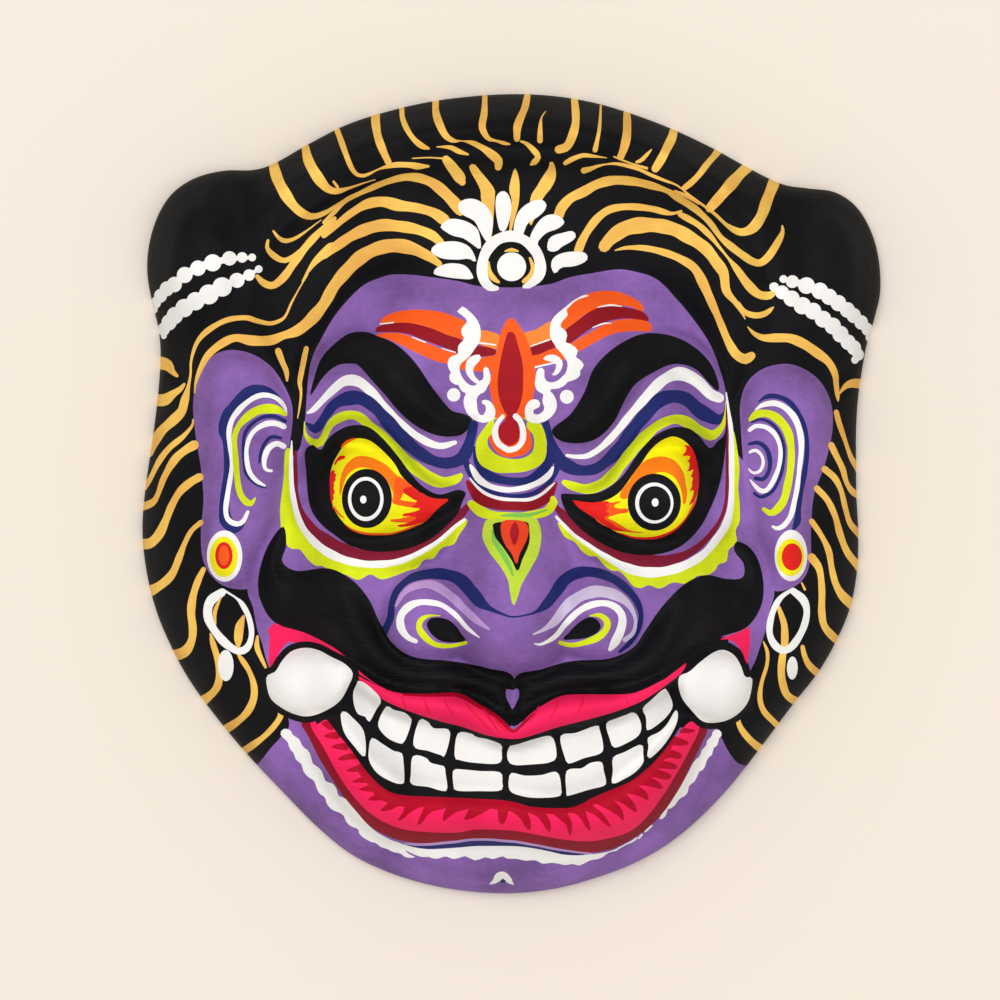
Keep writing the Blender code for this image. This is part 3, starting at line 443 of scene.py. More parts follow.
# The white flower at the top of the forehead
PETALS = [
    [(-29, 82.3), (-28, 84.5), (-24, 86), (-20, 86), (-17, 85), (-15, 82.5), (-14.5, 80.3), (-20, 80.4),
     (-26, 81.3)],
    [(-30, 90.5), (-28.5, 93), (-25, 94.2), (-20, 94.2), (-16, 92.5), (-14, 89.5), (-13.3, 86.5),
     (-16, 87.8), (-20, 87.5), (-26, 88)],
    [(-26.5, 99.7), (-24.5, 102), (-22, 102.8), (-18, 102.2), (-14.5, 100.5), (-12.3, 98), (-11.5, 91.5),
     (-15, 93.5), (-18, 95.5), (-22, 96.5), (-25, 98.3)],
    [(-20, 107.3), (-19, 109.3), (-16, 110.3), (-12.5, 109.7), (-9, 107), (-7, 103), (-7.3, 98),
     (-8.7, 94), (-10, 95), (-12, 98.5), (-14, 102), (-18.5, 104.5)],
    [(-6, 108), (-5.5, 111.5), (-3.3, 113.2), (-1.2, 111.8), (-0.1, 108), (-0.6, 103), (-2.3, 98.5),
     (-4.3, 98.4), (-5.5, 103)],
    [(0.8, 97.5), (1.5, 103), (3.5, 106.5), (7, 109), (11, 110), (13, 108), (12, 105.5), (9.5, 103.3),
     (6, 101), (4.5, 97.5), (3, 95.5)],
    [(7, 96.5), (9.5, 101), (12.5, 103.8), (16, 104.4), (19, 102.8), (19.5, 101), (17, 99), (13, 97.5),
     (10, 94.5), (9.5, 92.8), (7.3, 94.2)],
    [(13.5, 91), (13.6, 94.5), (15.5, 96.5), (19, 97.5), (22.5, 98.2), (24, 96.5), (22.5, 94.5),
     (19, 92.5), (16.5, 90.6)],
    [(14.7, 85), (15.5, 88), (18.5, 89.8), (22.5, 90.5), (27, 90.2), (28.4, 88.3), (27, 86.5), (23, 85),
     (18.5, 84.5), (16.2, 82.2)],
]
FLOWER_BED = [(-9, 78), (-9.5, 85), (-7, 91.5), (0, 94), (7, 91.5), (9.5, 85), (9, 79), (0, 77.3)]
FLOWER_HEART = (0, 84.8, 5.4)
FLOWER_RING = [
    (-5.5, 76.7, 1.6), (-8, 77.2, 3), (-10.3, 80, 4), (-11, 84.5, 4), (-9.7, 90, 4), (-6, 94.5, 4),
    (-0.5, 96.3, 4), (5, 94.6, 4), (9.2, 90.3, 4), (10.7, 85.2, 4), (9.8, 81, 4), (6.5, 78, 2.6),
    (4.8, 77.4, 1.6),
]

# Rows of white beads on the two hair buns: x, y, radius
LEFT_BEADS = [
    (-96.9, 88.6, 1.5), (-100.6, 88.6, 2), (-105.3, 88.2, 2.7), (-111.5, 86.5, 3.2),
    (-117, 84.5, 2.9), (-122, 82, 3), (-126, 78.5, 2.9), (-129, 77, 2.8), (-131.5, 74.5, 2.6),
    (-133.5, 72, 2.2), (-134.2, 69.5, 1.5),
    (-94.4, 84.2, 1.5), (-98, 82, 2.2), (-102.5, 80, 2.8), (-108, 77.5, 3.6), (-113, 74.7, 3.7),
    (-118, 72.2, 3.4), (-122.3, 69.7, 3.4), (-126, 67, 3.2), (-128.3, 64.5, 3), (-130.5, 62, 2.5),
    (-130.4, 59.5, 1.2),
]
RIGHT_BEADS = [
    (101.5, 80.5, 1.5), (104.8, 79.5, 2.4), (110, 78, 3.1), (115, 76, 3.1), (118.5, 73.8, 3),
    (122, 71.5, 3), (125.5, 69, 2.9), (128, 67, 2.8), (131, 64.5, 2.7), (133.5, 62, 2.4),
    (134.3, 59, 1.5), (98, 77.5, 1.8), (101, 75.5, 2.6), (104.5, 73.2, 3), (108.5, 70.5, 3.2),
    (112.5, 68.5, 3.1), (116.3, 65.5, 3.1), (120, 63, 3.1), (123, 60, 3.1), (126, 57, 2.9),
    (128.3, 55, 2.8), (130, 52.5, 2.3), (128.7, 50.5, 1.5),
]
BEAD_LINKS = [
    [(-98, 88.5, 1.2), (-105, 88, 2), (-111.5, 86.5, 3), (-117, 84.5, 3), (-122, 82, 3),
     (-126, 78.5, 3), (-129, 77, 3), (-133, 72, 2.5)],
    [(-95, 83.7, 1.2), (-102.5, 80, 2.4), (-108, 77.5, 3), (-113, 74.7, 3), (-118, 72.2, 3),
     (-126, 67, 3), (-130.5, 62, 2)],
    [(100.5, 80.5, 1.2), (104.8, 79.5, 2), (110, 78, 3), (118.5, 73.8, 3), (125.5, 69, 3),
     (133.5, 62, 2)],
    [(97, 78, 1.5), (104.5, 73.2, 3), (112.5, 68.5, 3), (120, 63, 3), (126, 57, 3), (130, 52.5, 2)],
]

# Painted whorls of the ears, from the outer rim inwards, as (colour, stroke)
EAR_BANDS = [
    ("white", [(-83.8, 29.5, 0.5), (-84.5, 32.5, 1.3), (-87, 35.5, 1.7), (-91, 37, 1.8), (-95, 36.5),
               (-99, 34, 2), (-102, 31, 2.2), (-104.3, 27.5, 2), (-105.3, 23, 1.8), (-105, 18, 1.6),
               (-104.3, 13, 1.5), (-104.5, 8), (-105.8, 0, 1.8), (-106.5, -6), (-105.5, -9.5, 2),
               (-102.5, -11, 2), (-100, -10, 1.8), (-98.3, -6.5, 1.2)]),
    ("lime", [(-84.3, 29.8, 1.5), (-87, 31.5, 3), (-91, 32, 3.5), (-95, 31.2, 3.2), (-99, 28.5, 2.8),
              (-102, 25, 2.2), (-103.3, 21, 2), (-103, 15), (-102.5, 9), (-102, 4, 2.2), (-101, 0, 2.5),
              (-99, -2.7, 2.5), (-97, -3.3, 2), (-95.5, -1.3, 0.5)]),
    ("navy", [(-84.3, 27.3, 1.3), (-88, 29, 1.6), (-92, 29), (-96, 27), (-99, 23.5, 1.3),
              (-100, 19, 1.2), (-99.5, 10, 1.3), (-98.5, 7), (-95.5, 4), (-92, 2.7, 1)]),
    ("white", [(-84.8, 25.3, 2), (-88, 26.5), (-91.5, 26.3, 2), (-95, 24.5, 1.8), (-97.5, 21.5),
               (-98.8, 17, 1.6), (-98.6, 12), (-97.5, 8, 1.8), (-95, 5, 1.6), (-92, 3.3, 0.8)]),
    ("navy", [(-86, 21, 1), (-89.5, 21.5, 1.5), (-92, 19), (-93.5, 15.5), (-94, 12, 1)]),
    ("white", [(-85, 18, 2.2), (-87.5, 19), (-90.5, 17.3), (-92, 14, 2), (-92.2, 11, 1.6),
               (-91.5, 9.2), (-89.5, 8.8, 1)]),
    ("navy", [(92, 34.5, 0.5), (95, 36.5, 1.8), (99, 36.5), (103, 34.8, 2), (106, 31.5), (108.5, 27),
              (110, 21, 1.7), (110, 14, 1.8), (109, 7, 2), (108, 1, 1.6), (107, -5, 2),
              (106.5, -10, 2.5), (105, -13, 1)]),
    ("white", [(90.8, 31.5, 0.5), (93.5, 33.3, 1.7), (98, 34, 2), (102, 32.3, 2.2), (105.5, 28.5, 2.5),
               (107.5, 23, 2.3), (108, 17, 2), (107.3, 10, 1.7), (106.5, 3, 1.8), (105.3, -3),
               (104, -8, 1.9), (101.5, -11.5, 2), (99, -12.7, 1.5), (97.3, -12, 1)]),
    ("lime", [(89, 28, 1.5), (91.5, 30, 3), (96, 30, 3), (100, 27.5, 3.3), (103, 23, 3),
              (104.2, 17, 2.7), (104, 10), (103, 4, 2.8), (101.5, -2), (99, -5.5, 3), (96.5, -7, 2.5),
              (94, -5.5, 1.5)]),
    ("navy", [(89.5, 27, 0.8), (93, 28, 1), (97, 26.3, 1.2), (100, 22.5), (101.5, 17, 1.3), (101, 10),
              (99.5, 5), (97, 1), (93, -1, 1.3), (90.5, 0.5, 1)]),
    ("white", [(88.7, 24, 1.5), (91, 25.5, 1.6), (95, 25, 1.7), (98.5, 22), (100.2, 17, 1.6),
               (99.8, 11), (98, 6, 1.7), (95.5, 2), (93, 1.3, 1.7), (90.5, 3.5, 1.3), (89, 5.5, 0.5)]),
    ("navy", [(88.5, 18.8, 1), (92, 19.3, 1.5), (95, 17, 1.8), (96.3, 13), (96, 9), (94, 5.8),
              (91, 6, 1.5)]),
    ("white", [(88.8, 15.8, 1), (91, 16.5, 1.3), (93.2, 14.5), (93.8, 11.5, 1.2), (92.5, 8.7),
               (90, 8, 1), (88.5, 9.5, 0.5)]),
]
LEFT_EAR_SHADE = [
    (-86, 36), (-90, 39.8), (-95, 41), (-99, 40), (-102, 37.5), (-105, 34), (-107.5, 31), (-109, 27),
    (-109.2, 23), (-107.8, 20), (-107.3, 15), (-107.3, 8), (-108.5, 0), (-109, -6), (-108.5, -11),
    (-104, -14.5), (-100.5, -13), (-99, -9), (-103, -10), (-105, -6), (-104.8, 2), (-103.8, 12),
    (-104.5, 22), (-102.5, 29), (-98, 34), (-92, 36), (-87, 34.5),
]

# Painted ear studs and hoops
HOOPS = [
    [(-108, -36.5, 3), (-112.5, -40, 3.5), (-113.5, -45, 3.5), (-111.5, -50, 3), (-107, -55.5, 3),
     (-102, -58.5, 2.7), (-98.5, -57, 2.7), (-97, -52, 2), (-98, -46, 2), (-100.5, -41, 1.8),
     (-103, -38.5, 0.8), (-107, -36, 0.8)],
    [(105, -36, 2.5), (109, -39.5, 3), (110.3, -44, 2.6), (109, -50, 2.6), (105.5, -56, 2.7),
     (102, -58.3, 2.8), (98.5, -56.5, 2.8), (96.3, -52, 2.5), (96.8, -46, 2.2), (98.7, -41, 2.2),
     (101, -38, 1.8), (104, -36, 1.5)],
]
HOOP_GLINTS = [
    [(-108.5, -38.5, 0.6), (-110.8, -44, 1.5), (-110.5, -48.5, 0.5)],
    [(-100, -45.5, 1), (-101.5, -49.5, 3.4), (-102, -54, 3), (-102, -57, 1)],
]

# Forehead marks: bands of orange and dark red on each side of the long red drop
FOREHEAD_AREAS = [
    ("orange", [(-49, 64), (-47, 66.5), (-42, 68.2), (-35, 68.8), (-27, 68), (-21, 66), (-17, 64),
                (-15, 60), (-17, 58), (-22, 58), (-28, 61), (-34, 63), (-40, 63.8), (-45, 63.5)]),
    ("wine", [(-50.7, 61.3), (-50, 62.5), (-45, 63.7), (-38, 63.8), (-30, 61.8), (-24, 59.3), (-18, 57),
              (-18, 52), (-21, 53), (-27, 55.3), (-33, 57.5), (-38, 59.5), (-43, 60.3), (-50.5, 60.5)]),
    ("orange", [(-50.8, 59), (-48, 60), (-42, 60), (-36, 58.3), (-30, 55.7), (-24, 53.3), (-20, 52),
                (-19, 47), (-23, 48.3), (-28, 49.5), (-34, 52), (-40, 55), (-46, 57.8)]),
    ("tangerine", [(-12, 60.8), (-6, 60), (-4, 58), (-5, 54), (-12, 56)]),
    ("wine", [(-14, 55.2), (-6.3, 54), (-6.8, 51.6), (-16, 51.6)]),
    ("orange", [(-19, 51), (-12, 50.8), (-6, 51.4), (-7, 46.2), (-14, 45.8), (-20, 47)]),
    ("tangerine", [(4, 59.5), (9, 61.3), (15, 64.3), (15.5, 58), (6, 54.8)]),
    ("wine", [(6.2, 53.3), (7.8, 55), (15, 57.4), (17, 54.5), (8, 51.6)]),
    ("orange", [(7, 51.3), (10, 52), (17.5, 54.6), (20, 50.5), (16, 49), (8, 47)]),
    ("orange", [(19, 68.5), (25, 73), (31, 75.5), (38, 75.8), (44, 74), (48.5, 71), (49, 68),
                (44, 70), (38, 70.3), (32, 69.3), (26, 66), (21, 61), (17, 63), (17, 66)]),
    ("wine", [(19, 60), (25, 65), (30, 68.5), (35, 70), (42, 69.8), (49, 68), (51, 64.5), (44, 65.5),
              (38, 65), (32, 63), (27, 60), (22, 56.3), (19.5, 56)]),
    ("orange", [(22, 56), (28, 59.5), (34, 63), (40, 65), (46, 65.3), (51, 64.3), (52.3, 62.3),
                (51.5, 60.8), (44, 60.7), (37, 59.5), (30, 56), (25, 53.2), (21, 53)]),
]
FOREHEAD_LINES = [
    [(-49, 63.5, 0.4), (-44, 64, 0.5)], [(-37, 58.5, 0.3), (-32, 56.5, 0.5)],
    [(-26, 54.3, 0.3), (-21, 52.8, 0.5)], [(-13, 56.5, 0.6), (-6, 55.5, 0.5)],
    [(7, 55, 0.4), (14, 57.5, 0.6)], [(8.5, 47.2, 0.7), (16, 49, 0.7)],
    [(20.5, 69.5, 0.9), (24, 72.5, 0.5), (28.5, 74, 0.3)],
    [(32, 69.7, 0.3), (37, 70.5, 0.7), (41, 70, 0.3)], [(30, 62, 0.3), (34, 63.5, 0.6), (37, 63.7, 0.3)],
]
DROP_HALO = [
    (-0.3, 65.6), (-2, 64.5), (-4, 60), (-5.5, 54), (-7, 47), (-8.3, 42), (-7.5, 36), (-6, 31), (-5, 28),
    (5, 28.5), (7, 33), (8.7, 40), (8.8, 46), (7, 54), (5, 59), (3, 62.5), (1, 65),
]
DROP = [
    (0.3, 60.3), (-1.5, 60), (-3, 55), (-4.5, 48), (-5.2, 42), (-4.7, 36), (-3, 31.5), (-1.7, 29.5),
    (1, 29.5), (2.8, 32.5), (4, 37), (4.3, 43), (4, 49), (2.5, 55), (1, 60),
]
DROP_BULB = [
    (-1.5, 30), (-2.5, 27.5), (-4.8, 25), (-4.7, 21.5), (-2.5, 18.8), (-0.5, 18), (2, 19.5), (3, 22.5),
    (2.5, 26), (0.8, 28), (0.6, 30),
]
DROP_CUP = [
    (-3.3, 29, 1.5), (-5.5, 26, 2), (-6.2, 22.5, 2.2), (-5, 19, 2.2), (-2, 16.8, 2), (-1, 16.5),
    (2, 17.3, 2), (4, 20, 2.3), (4.2, 24), (3, 27.5, 2.2), (1.5, 29, 2.2),
]
DROP_BASE = [
    (-8, 22), (-7, 17.5), (-4, 14.5), (0, 13.8), (5, 15), (7.5, 18), (7, 22), (5.5, 25), (0, 24),
]

# White flourishes on each side of the drop
FLOURISHES = [
    [(-18.3, 69.9), (-17, 69.2), (-15.3, 67.7), (-13.8, 66.2), (-12.6, 64.5), (-11.7, 62.2), (-11.4, 60),
     (-11.6, 58), (-12.2, 56.2), (-13.6, 54.2), (-15.4, 51.6), (-17.4, 49.8), (-18.9, 48.5),
     (-19.4, 46.8), (-19, 45), (-18, 43), (-16.6, 41.4), (-15, 40.4), (-13.9, 40.4), (-12.8, 41),
     (-12, 42.2), (-10.8, 42.6), (-10.4, 43.8), (-10.5, 46), (-10.3, 47.3), (-9.7, 47.6), (-8.9, 47.2),
     (-8.2, 45.6), (-7.8, 43.5), (-7.9, 42.2), (-8.4, 41), (-9.2, 39.8), (-9.6, 38.6), (-10.4, 37.9),
     (-11.6, 37.4), (-12.6, 36.4), (-13, 35.2), (-12.9, 34), (-12.7, 31.6), (-12.3, 30.2), (-11.5, 29.3),
     (-10.8, 29.3), (-10, 30.2), (-9.5, 31.5), (-9.7, 33), (-10.2, 33.4), (-11.2, 34), (-11.4, 34.6),
     (-10.6, 35.1), (-9.6, 35.2), (-8.3, 34.8), (-7.4, 34), (-6.4, 32.4), (-6, 31), (-6.1, 29.6),
     (-6.8, 27.9), (-9, 26.8), (-11.5, 26.8), (-14, 27.8), (-15.8, 29.3), (-17, 31), (-17.8, 33.5),
     (-17.8, 35.3), (-17.3, 36.9), (-16.5, 37.6), (-17.4, 37.8), (-18.6, 38.4), (-19.2, 39.4),
     (-19.6, 40.6), (-21.4, 41), (-22.8, 42.2), (-23.2, 43.8), (-22.5, 45.6), (-23.3, 46.6),
     (-23.8, 48.6), (-23.2, 50.6), (-21.8, 51.6), (-20.3, 51.8), (-19.8, 52.6), (-20, 54.2),
     (-19.6, 55.6), (-18.4, 56.8), (-17.5, 57.8), (-18.3, 59), (-18.7, 60.2), (-18.6, 61.6),
     (-17.8, 62.7), (-16.8, 63.6), (-16.5, 64.3), (-17, 65.3), (-18, 66.2), (-19, 67), (-20.2, 67.7),
     (-20.1, 68.3), (-19.2, 69.1)],
    [(-11.3, 50.8), (-11.6, 51.6), (-12.4, 52.1), (-13.6, 51.8), (-15.2, 51.2), (-16.4, 50),
     (-17, 48.4), (-17.1, 46.6), (-16.8, 45), (-15.9, 43.5), (-14.6, 42.2), (-12.8, 41.1),
     (-11.6, 42), (-13, 43), (-13.9, 44.4), (-14.3, 46), (-14.1, 47), (-13.4, 48.2), (-12.2, 49.3)],
    [(28.5, 74.4), (26.5, 73.5), (24.5, 72.4), (22.5, 71), (20.6, 69.2), (20.1, 68.5), (20.8, 67.6),
     (20.9, 66.8), (20.1, 65.7), (18.8, 64.4), (18.1, 63), (18, 62.4), (19.4, 61.4), (20.4, 60.2),
     (20.6, 59), (20.2, 57.6), (19.9, 56.6), (21.2, 56.2), (22.6, 55.4), (24, 54.4), (24.6, 53.3),
     (24.4, 52.4), (23.6, 51.4), (24.8, 50.4), (26, 49.4), (26.8, 48.2), (26.5, 47.2), (25.4, 46.1),
     (25.6, 45.4), (25.4, 44.3), (24.4, 43.2), (22.8, 42.4), (21, 41.9), (19.9, 40.8), (18.6, 39.8),
     (17, 39.3), (15, 39.2), (14, 38.7), (15.4, 37.3), (16.4, 35.4), (16.8, 33.6), (16.6, 31.8),
     (15.6, 29.8), (14, 28.2), (12, 27), (9, 26.4), (6.6, 27), (5.3, 28.4), (4.9, 30), (4.9, 31.6),
     (5.6, 33.6), (6.8, 34.9), (8.3, 35.4), (9.6, 35.2), (10.5, 34.2), (10.5, 33.2), (10, 32.1),
     (9, 31.9), (8.2, 31.6), (7.9, 30.6), (8.3, 29.9), (9.2, 29.6), (10.8, 30.1), (11.9, 31.2),
     (12.2, 32.2), (11.9, 33), (11.5, 34.2), (11.4, 35.6), (11.7, 36.4), (12.2, 36.8), (11.4, 37.5),
     (9.8, 38.3), (9, 39.4), (8.6, 41), (8.8, 42.6), (9, 44.2), (9.3, 45.8), (10, 46.8), (11, 47.1),
     (11.9, 46.8), (12.2, 45.6), (12.1, 44.2), (12.3, 43), (13.2, 42), (14.6, 41.6), (16, 41.8),
     (17.6, 42.6), (18.7, 43.8), (19.9, 44.8), (20.5, 46.4), (20.8, 48), (20.6, 49.4), (20, 50.4),
     (19.4, 51.2), (18, 53), (16.6, 54.4), (15.6, 56.2), (14.8, 57.4), (14.3, 58.4), (14.2, 60),
     (14.2, 62), (14.6, 64), (15.6, 65.8), (17.2, 67.4), (19, 68.9), (21, 70.5), (23.4, 72.2),
     (26, 73.9)],
    [(11.7, 50.5), (12.5, 51.3), (14, 51.9), (15.8, 51.9), (17.2, 51.3), (18.4, 50.3), (18.9, 49),
     (18.9, 47.8), (18.4, 46.4), (17.6, 45.2), (16.6, 44.3), (15.4, 44.1), (14.8, 44.3), (15.6, 45.2),
     (16.3, 46.6), (16.6, 47.8), (16.2, 48.8), (15.4, 49.4), (14.2, 49.4), (12.8, 49.7)],
]
# The white dot beside each flourish: x, y, radius
FLOURISH_DOTS = [(-21.5, 37, 2.5), (20.5, 36.3, 2.6)]

# The brows
LEFT_BROW = [
    (-75, 37), (-72.5, 47), (-70, 52), (-65, 57), (-60, 60.2), (-54, 60.5), (-50, 59), (-45, 57),
    (-40, 53.5), (-35, 48), (-30, 40.5), (-25, 34), (-22, 31), (-18, 30), (-15, 28.5), (-15, 26),
    (-18, 22.5), (-22, 21.5), (-27, 21.8), (-32, 23.5), (-37, 26.5), (-42, 31), (-47, 37),
    (-52, 42.5), (-57, 48), (-60, 48.7), (-65, 48), (-70, 44),
]
RIGHT_BROW = [
    (15, 24), (22, 30), (27, 38), (30, 46), (35, 52), (42, 57), (50, 60), (60, 59), (68, 55),
    (74, 49), (77, 42), (77, 38.5), (74, 41), (68, 47), (60, 48.5), (52, 45), (46, 41), (42, 35),
    (38, 27), (32, 21), (25, 19), (18, 20),
]

# Bands over and under the eyes, as (colour, stroke)
LID_BANDS = [
    ("white", [(-76, 30.5, 1), (-74, 31.5, 2), (-71, 34.5, 2.3), (-66.5, 39, 3), (-62, 42.3, 4),
               (-57, 42, 4), (-52, 38, 3.3), (-47, 32.5, 2.7), (-42, 27.5, 2.5), (-37, 23, 2.5),
               (-31, 19.3, 2.7), (-26, 18, 2.5), (-21, 19.3, 1.5)]),
    ("navy", [(-76.5, 26.5, 1), (-73, 24.5, 3.5), (-69.5, 29, 3.5), (-66, 33.5, 4), (-61, 35.7, 5),
              (-56, 35.7, 5), (-51, 32.5, 4.5), (-46, 27, 5), (-41, 21.5, 5), (-35, 16, 5),
              (-29, 12.5, 4), (-23, 11.7, 4), (-18, 14, 5), (-15.5, 20, 4), (-14, 26, 3)]),
    ("lime", [(-77.2, 27, 0.4), (-77, 23, 1), (-75, 20, 2.5), (-72, 19, 3.5), (-70, 21, 2.5),
              (-67, 26.5, 3), (-62, 29.3, 3.5), (-57, 29, 3.5), (-52, 25, 3.5), (-46, 20, 3.5),
              (-41, 14.5, 4), (-36, 10, 4.5), (-31, 6.5, 4.5), (-26, 4.5, 4), (-21, 5.5, 3.5),
              (-19, 7, 2)]),
    ("white", [(20.5, 14.5, 1), (24, 14, 1.6), (28, 14.3, 2), (32, 16.5, 2.3), (36, 20, 2.5),
               (40, 24.5, 2.7), (44, 29.5, 3), (48, 34, 3.3), (52, 38.5, 3.7), (57, 43, 4),
               (62, 45, 5), (66, 44, 5), (70, 41.5, 4), (74, 37.5, 4), (77.5, 36, 3.5)]),
    ("navy", [(12.5, 27, 2.5), (14.5, 20, 3), (17, 14, 5), (20, 11, 5), (25, 9, 4), (31, 9.5, 4),
              (36, 13, 4.5), (41, 18, 5), (45, 24, 5), (50, 30, 5), (55, 35, 5), (60, 36.5, 5),
              (65, 35.5, 5), (69, 32, 5.5), (73, 29.5, 5), (77, 28, 4), (79.3, 30, 1.5),
              (79.7, 33, 0.5)]),
    ("lime", [(19.5, 4.5, 2), (23, 3, 3.5), (28, 2, 3.5), (33, 3.5, 4), (37, 6.5, 4.5), (41, 11.5, 4),
              (45, 16.5, 4), (50, 22, 4), (55, 26, 3.5), (61, 28, 3.5), (66, 26.5, 4), (70, 24, 3.5),
              (74, 22, 4), (77, 23.5, 3), (79, 26.5, 1.5), (79.8, 31, 0.7), (80, 35, 0.4)]),
]

# The black round each eye, and the bands and scallops below it
LEFT_EYE_HOLE = [
    (-77, 16), (-76.5, 8), (-76, 0), (-74.5, -6), (-71, -11), (-66, -15), (-60, -19), (-53, -21),
    (-46, -21.3), (-38, -20), (-30, -16.5), (-24, -11.5), (-20, -7), (-18, -2), (-17, 0.5), (-20, 1.7),
    (-27, 0), (-33, 3), (-38, 8.5), (-42, 14), (-48, 21), (-53, 25), (-58, 25.8), (-63, 24.5),
    (-68, 21), (-71, 16.5), (-74, 18.5),
]
RIGHT_EYE_HOLE = [
    (18.3, -1), (19.5, -5), (22, -9), (27, -14), (33, -18), (40, -21.2), (47, -22.5), (54, -22.3),
    (61, -20.3), (66.4, -16.5), (71, -11), (74.6, -4), (77, 2), (78.4, 8), (79.4, 14), (80, 20),
    (80.3, 27), (79.3, 22.3), (76.9, 20), (74.3, 17.2), (72.3, 18.5), (70, 21.5), (66, 24.5), (61, 25),
    (56, 23.5), (51, 20), (46, 14), (42, 8), (38, 4),
    (33, 1), (27, 0), (19, 0.3),
]
LEFT_EYEBALL = [
    (-57, 20.9), (-59, 20.3), (-61, 19.2), (-63, 17.2), (-64.4, 15.2), (-65.8, 12.8), (-66.8, 10.2),
    (-67.3, 8), (-67.5, 5), (-67.4, 2), (-67.2, -1), (-66.7, -3.5), (-65.6, -6), (-64.4, -8),
    (-62.8, -10), (-61, -11.9), (-59, -13.3), (-56.5, -14.3), (-53, -14.9), (-49, -15),
    (-45, -14.8), (-42, -14.1), (-38, -12.8), (-35, -11.5), (-32, -10), (-30, -8.1), (-28, -5.9),
    (-26, -4.1), (-24.4, -2.7), (-23.2, -1.8), (-25, -1.6), (-27.5, -1.6), (-30, -1.2), (-32, -0.2),
    (-34, 0.8), (-36, 2.2), (-38, 4), (-40, 5.8), (-41.5, 7.8), (-42.6, 10), (-44.2, 12.4),
    (-46, 14.4), (-48, 16.4), (-50, 18.2), (-52, 19.6), (-54, 20.5),
]
RIGHT_EYEBALL = [
    (22.7, -2.2), (23.6, -3.6), (25.4, -5.4), (28, -7.1), (31, -9), (34, -10.9), (37, -12.9),
    (39.5, -14.2), (42.5, -15.4), (45.5, -16.3), (49, -16.7), (52, -16.7), (54.6, -16.3),
    (57.4, -15.3), (60.4, -13.6), (63.2, -11.2), (65.6, -8), (67.4, -4.6), (68.8, -1), (69.4, 2.5),
    (69.6, 6), (69.4, 9.4), (68.8, 12.4), (67.8, 15.6), (66.2, 18), (64, 20), (61.6, 21.2),
    (59.6, 21.5), (57.4, 20.9), (55, 19.6), (52.6, 17.6), (50.4, 15), (48.6, 12.2), (46.4, 9.4),
    (44, 6), (42, 3.2), (40.2, 1), (38, -0.7), (35.5, -2), (33, -2.7), (30, -3), (27, -2.8),
    (24.6, -2.4),
]
UNDER_EYE_BANDS = [
    ("plum", [(-80.5, 16, 1), (-80.7, 8, 2), (-80.5, 0, 2.2), (-79, -6, 3), (-75, -12, 3.6),
              (-70, -16.5, 4.4), (-63, -20.5, 5), (-56, -22.8, 5), (-48, -23.2, 4.8), (-40, -21.5, 4.8),
              (-32, -17.3, 4.6), (-26, -13.1, 4.6), (-21, -9.4, 4), (-17.5, -5.8, 3), (-15.5, -3.5, 1.5)]),
    ("white", [(-82, 20, 0.4), (-82.2, 12, 1.5), (-82, 4, 1.8), (-81, -3, 2), (-79, -10, 2.3),
               (-75.5, -15.5, 2.7), (-70, -20.5, 3), (-63, -24, 3), (-55, -25.8, 2.7),
               (-47, -25.8, 2.5), (-40, -24.3, 2.2), (-32, -20.5, 1.8), (-26, -16.5, 1.5),
               (-21, -12, 1.5), (-17.5, -9.3, 1)]),
    ("plum", [(16, -4.2, 1.6), (19, -7.4, 3.2), (24, -12.6, 4.4), (30, -17.2, 4.8), (37, -21.4, 5),
              (45, -24.2, 4.8), (53, -25, 4.6), (61, -23.8, 3.8), (68, -20.5, 2.5), (74, -15, 2),
              (78, -9, 1.5), (79.8, -3, 1.2), (80.5, 5, 1.5), (80.7, 14, 1.8), (80.5, 25, 1.5),
              (80.2, 36, 0.5)]),
    ("violet", [(66, -19, 0.6), (71, -15, 1), (75, -9, 1), (77, -2, 1), (79, 10, 0.5)]),
    ("white", [(16.5, -8.3, 1), (19, -11, 1.3), (23, -15), (28, -18.5, 1.4), (34, -22.5, 2),
               (41, -26.5, 3), (48, -28.7, 3.7), (56, -28.7, 3.7), (64, -26.5, 3.2), (71, -22.5, 3),
               (76, -17, 3), (80, -11, 3), (81.7, -4, 2.3), (82, 4, 2), (82, 14, 2), (81.8, 24, 1.8),
               (80.8, 32, 1), (80, 38, 0.4)]),
]
LEFT_SCALLOPS = [
    (-84.5, 16), (-85, 6), (-86.3, -4.5), (-86.2, -9.5), (-85.7, -15), (-84, -18.5), (-82, -20.3),
    (-79, -20.5), (-76, -24), (-73, -26.5), (-70, -26.7), (-67, -29), (-62, -29.7), (-57, -31.8),
    (-52.5, -29.7), (-48.5, -31.6), (-44, -30.5), (-39, -28.5), (-35, -27.3), (-32.5, -24.3),
    (-29, -23.8), (-26, -20), (-21.5, -18.5), (-19.5, -15), (-17, -11.5), (-16.5, -9), (-21, -12),
    (-26, -16.5), (-32, -20.5), (-40, -24.3), (-47, -25.8), (-55, -25.8), (-63, -24), (-70, -20.5),
    (-75.5, -15.5), (-79, -10), (-81, -3), (-82, 4), (-82.2, 12), (-82.5, 17),
]
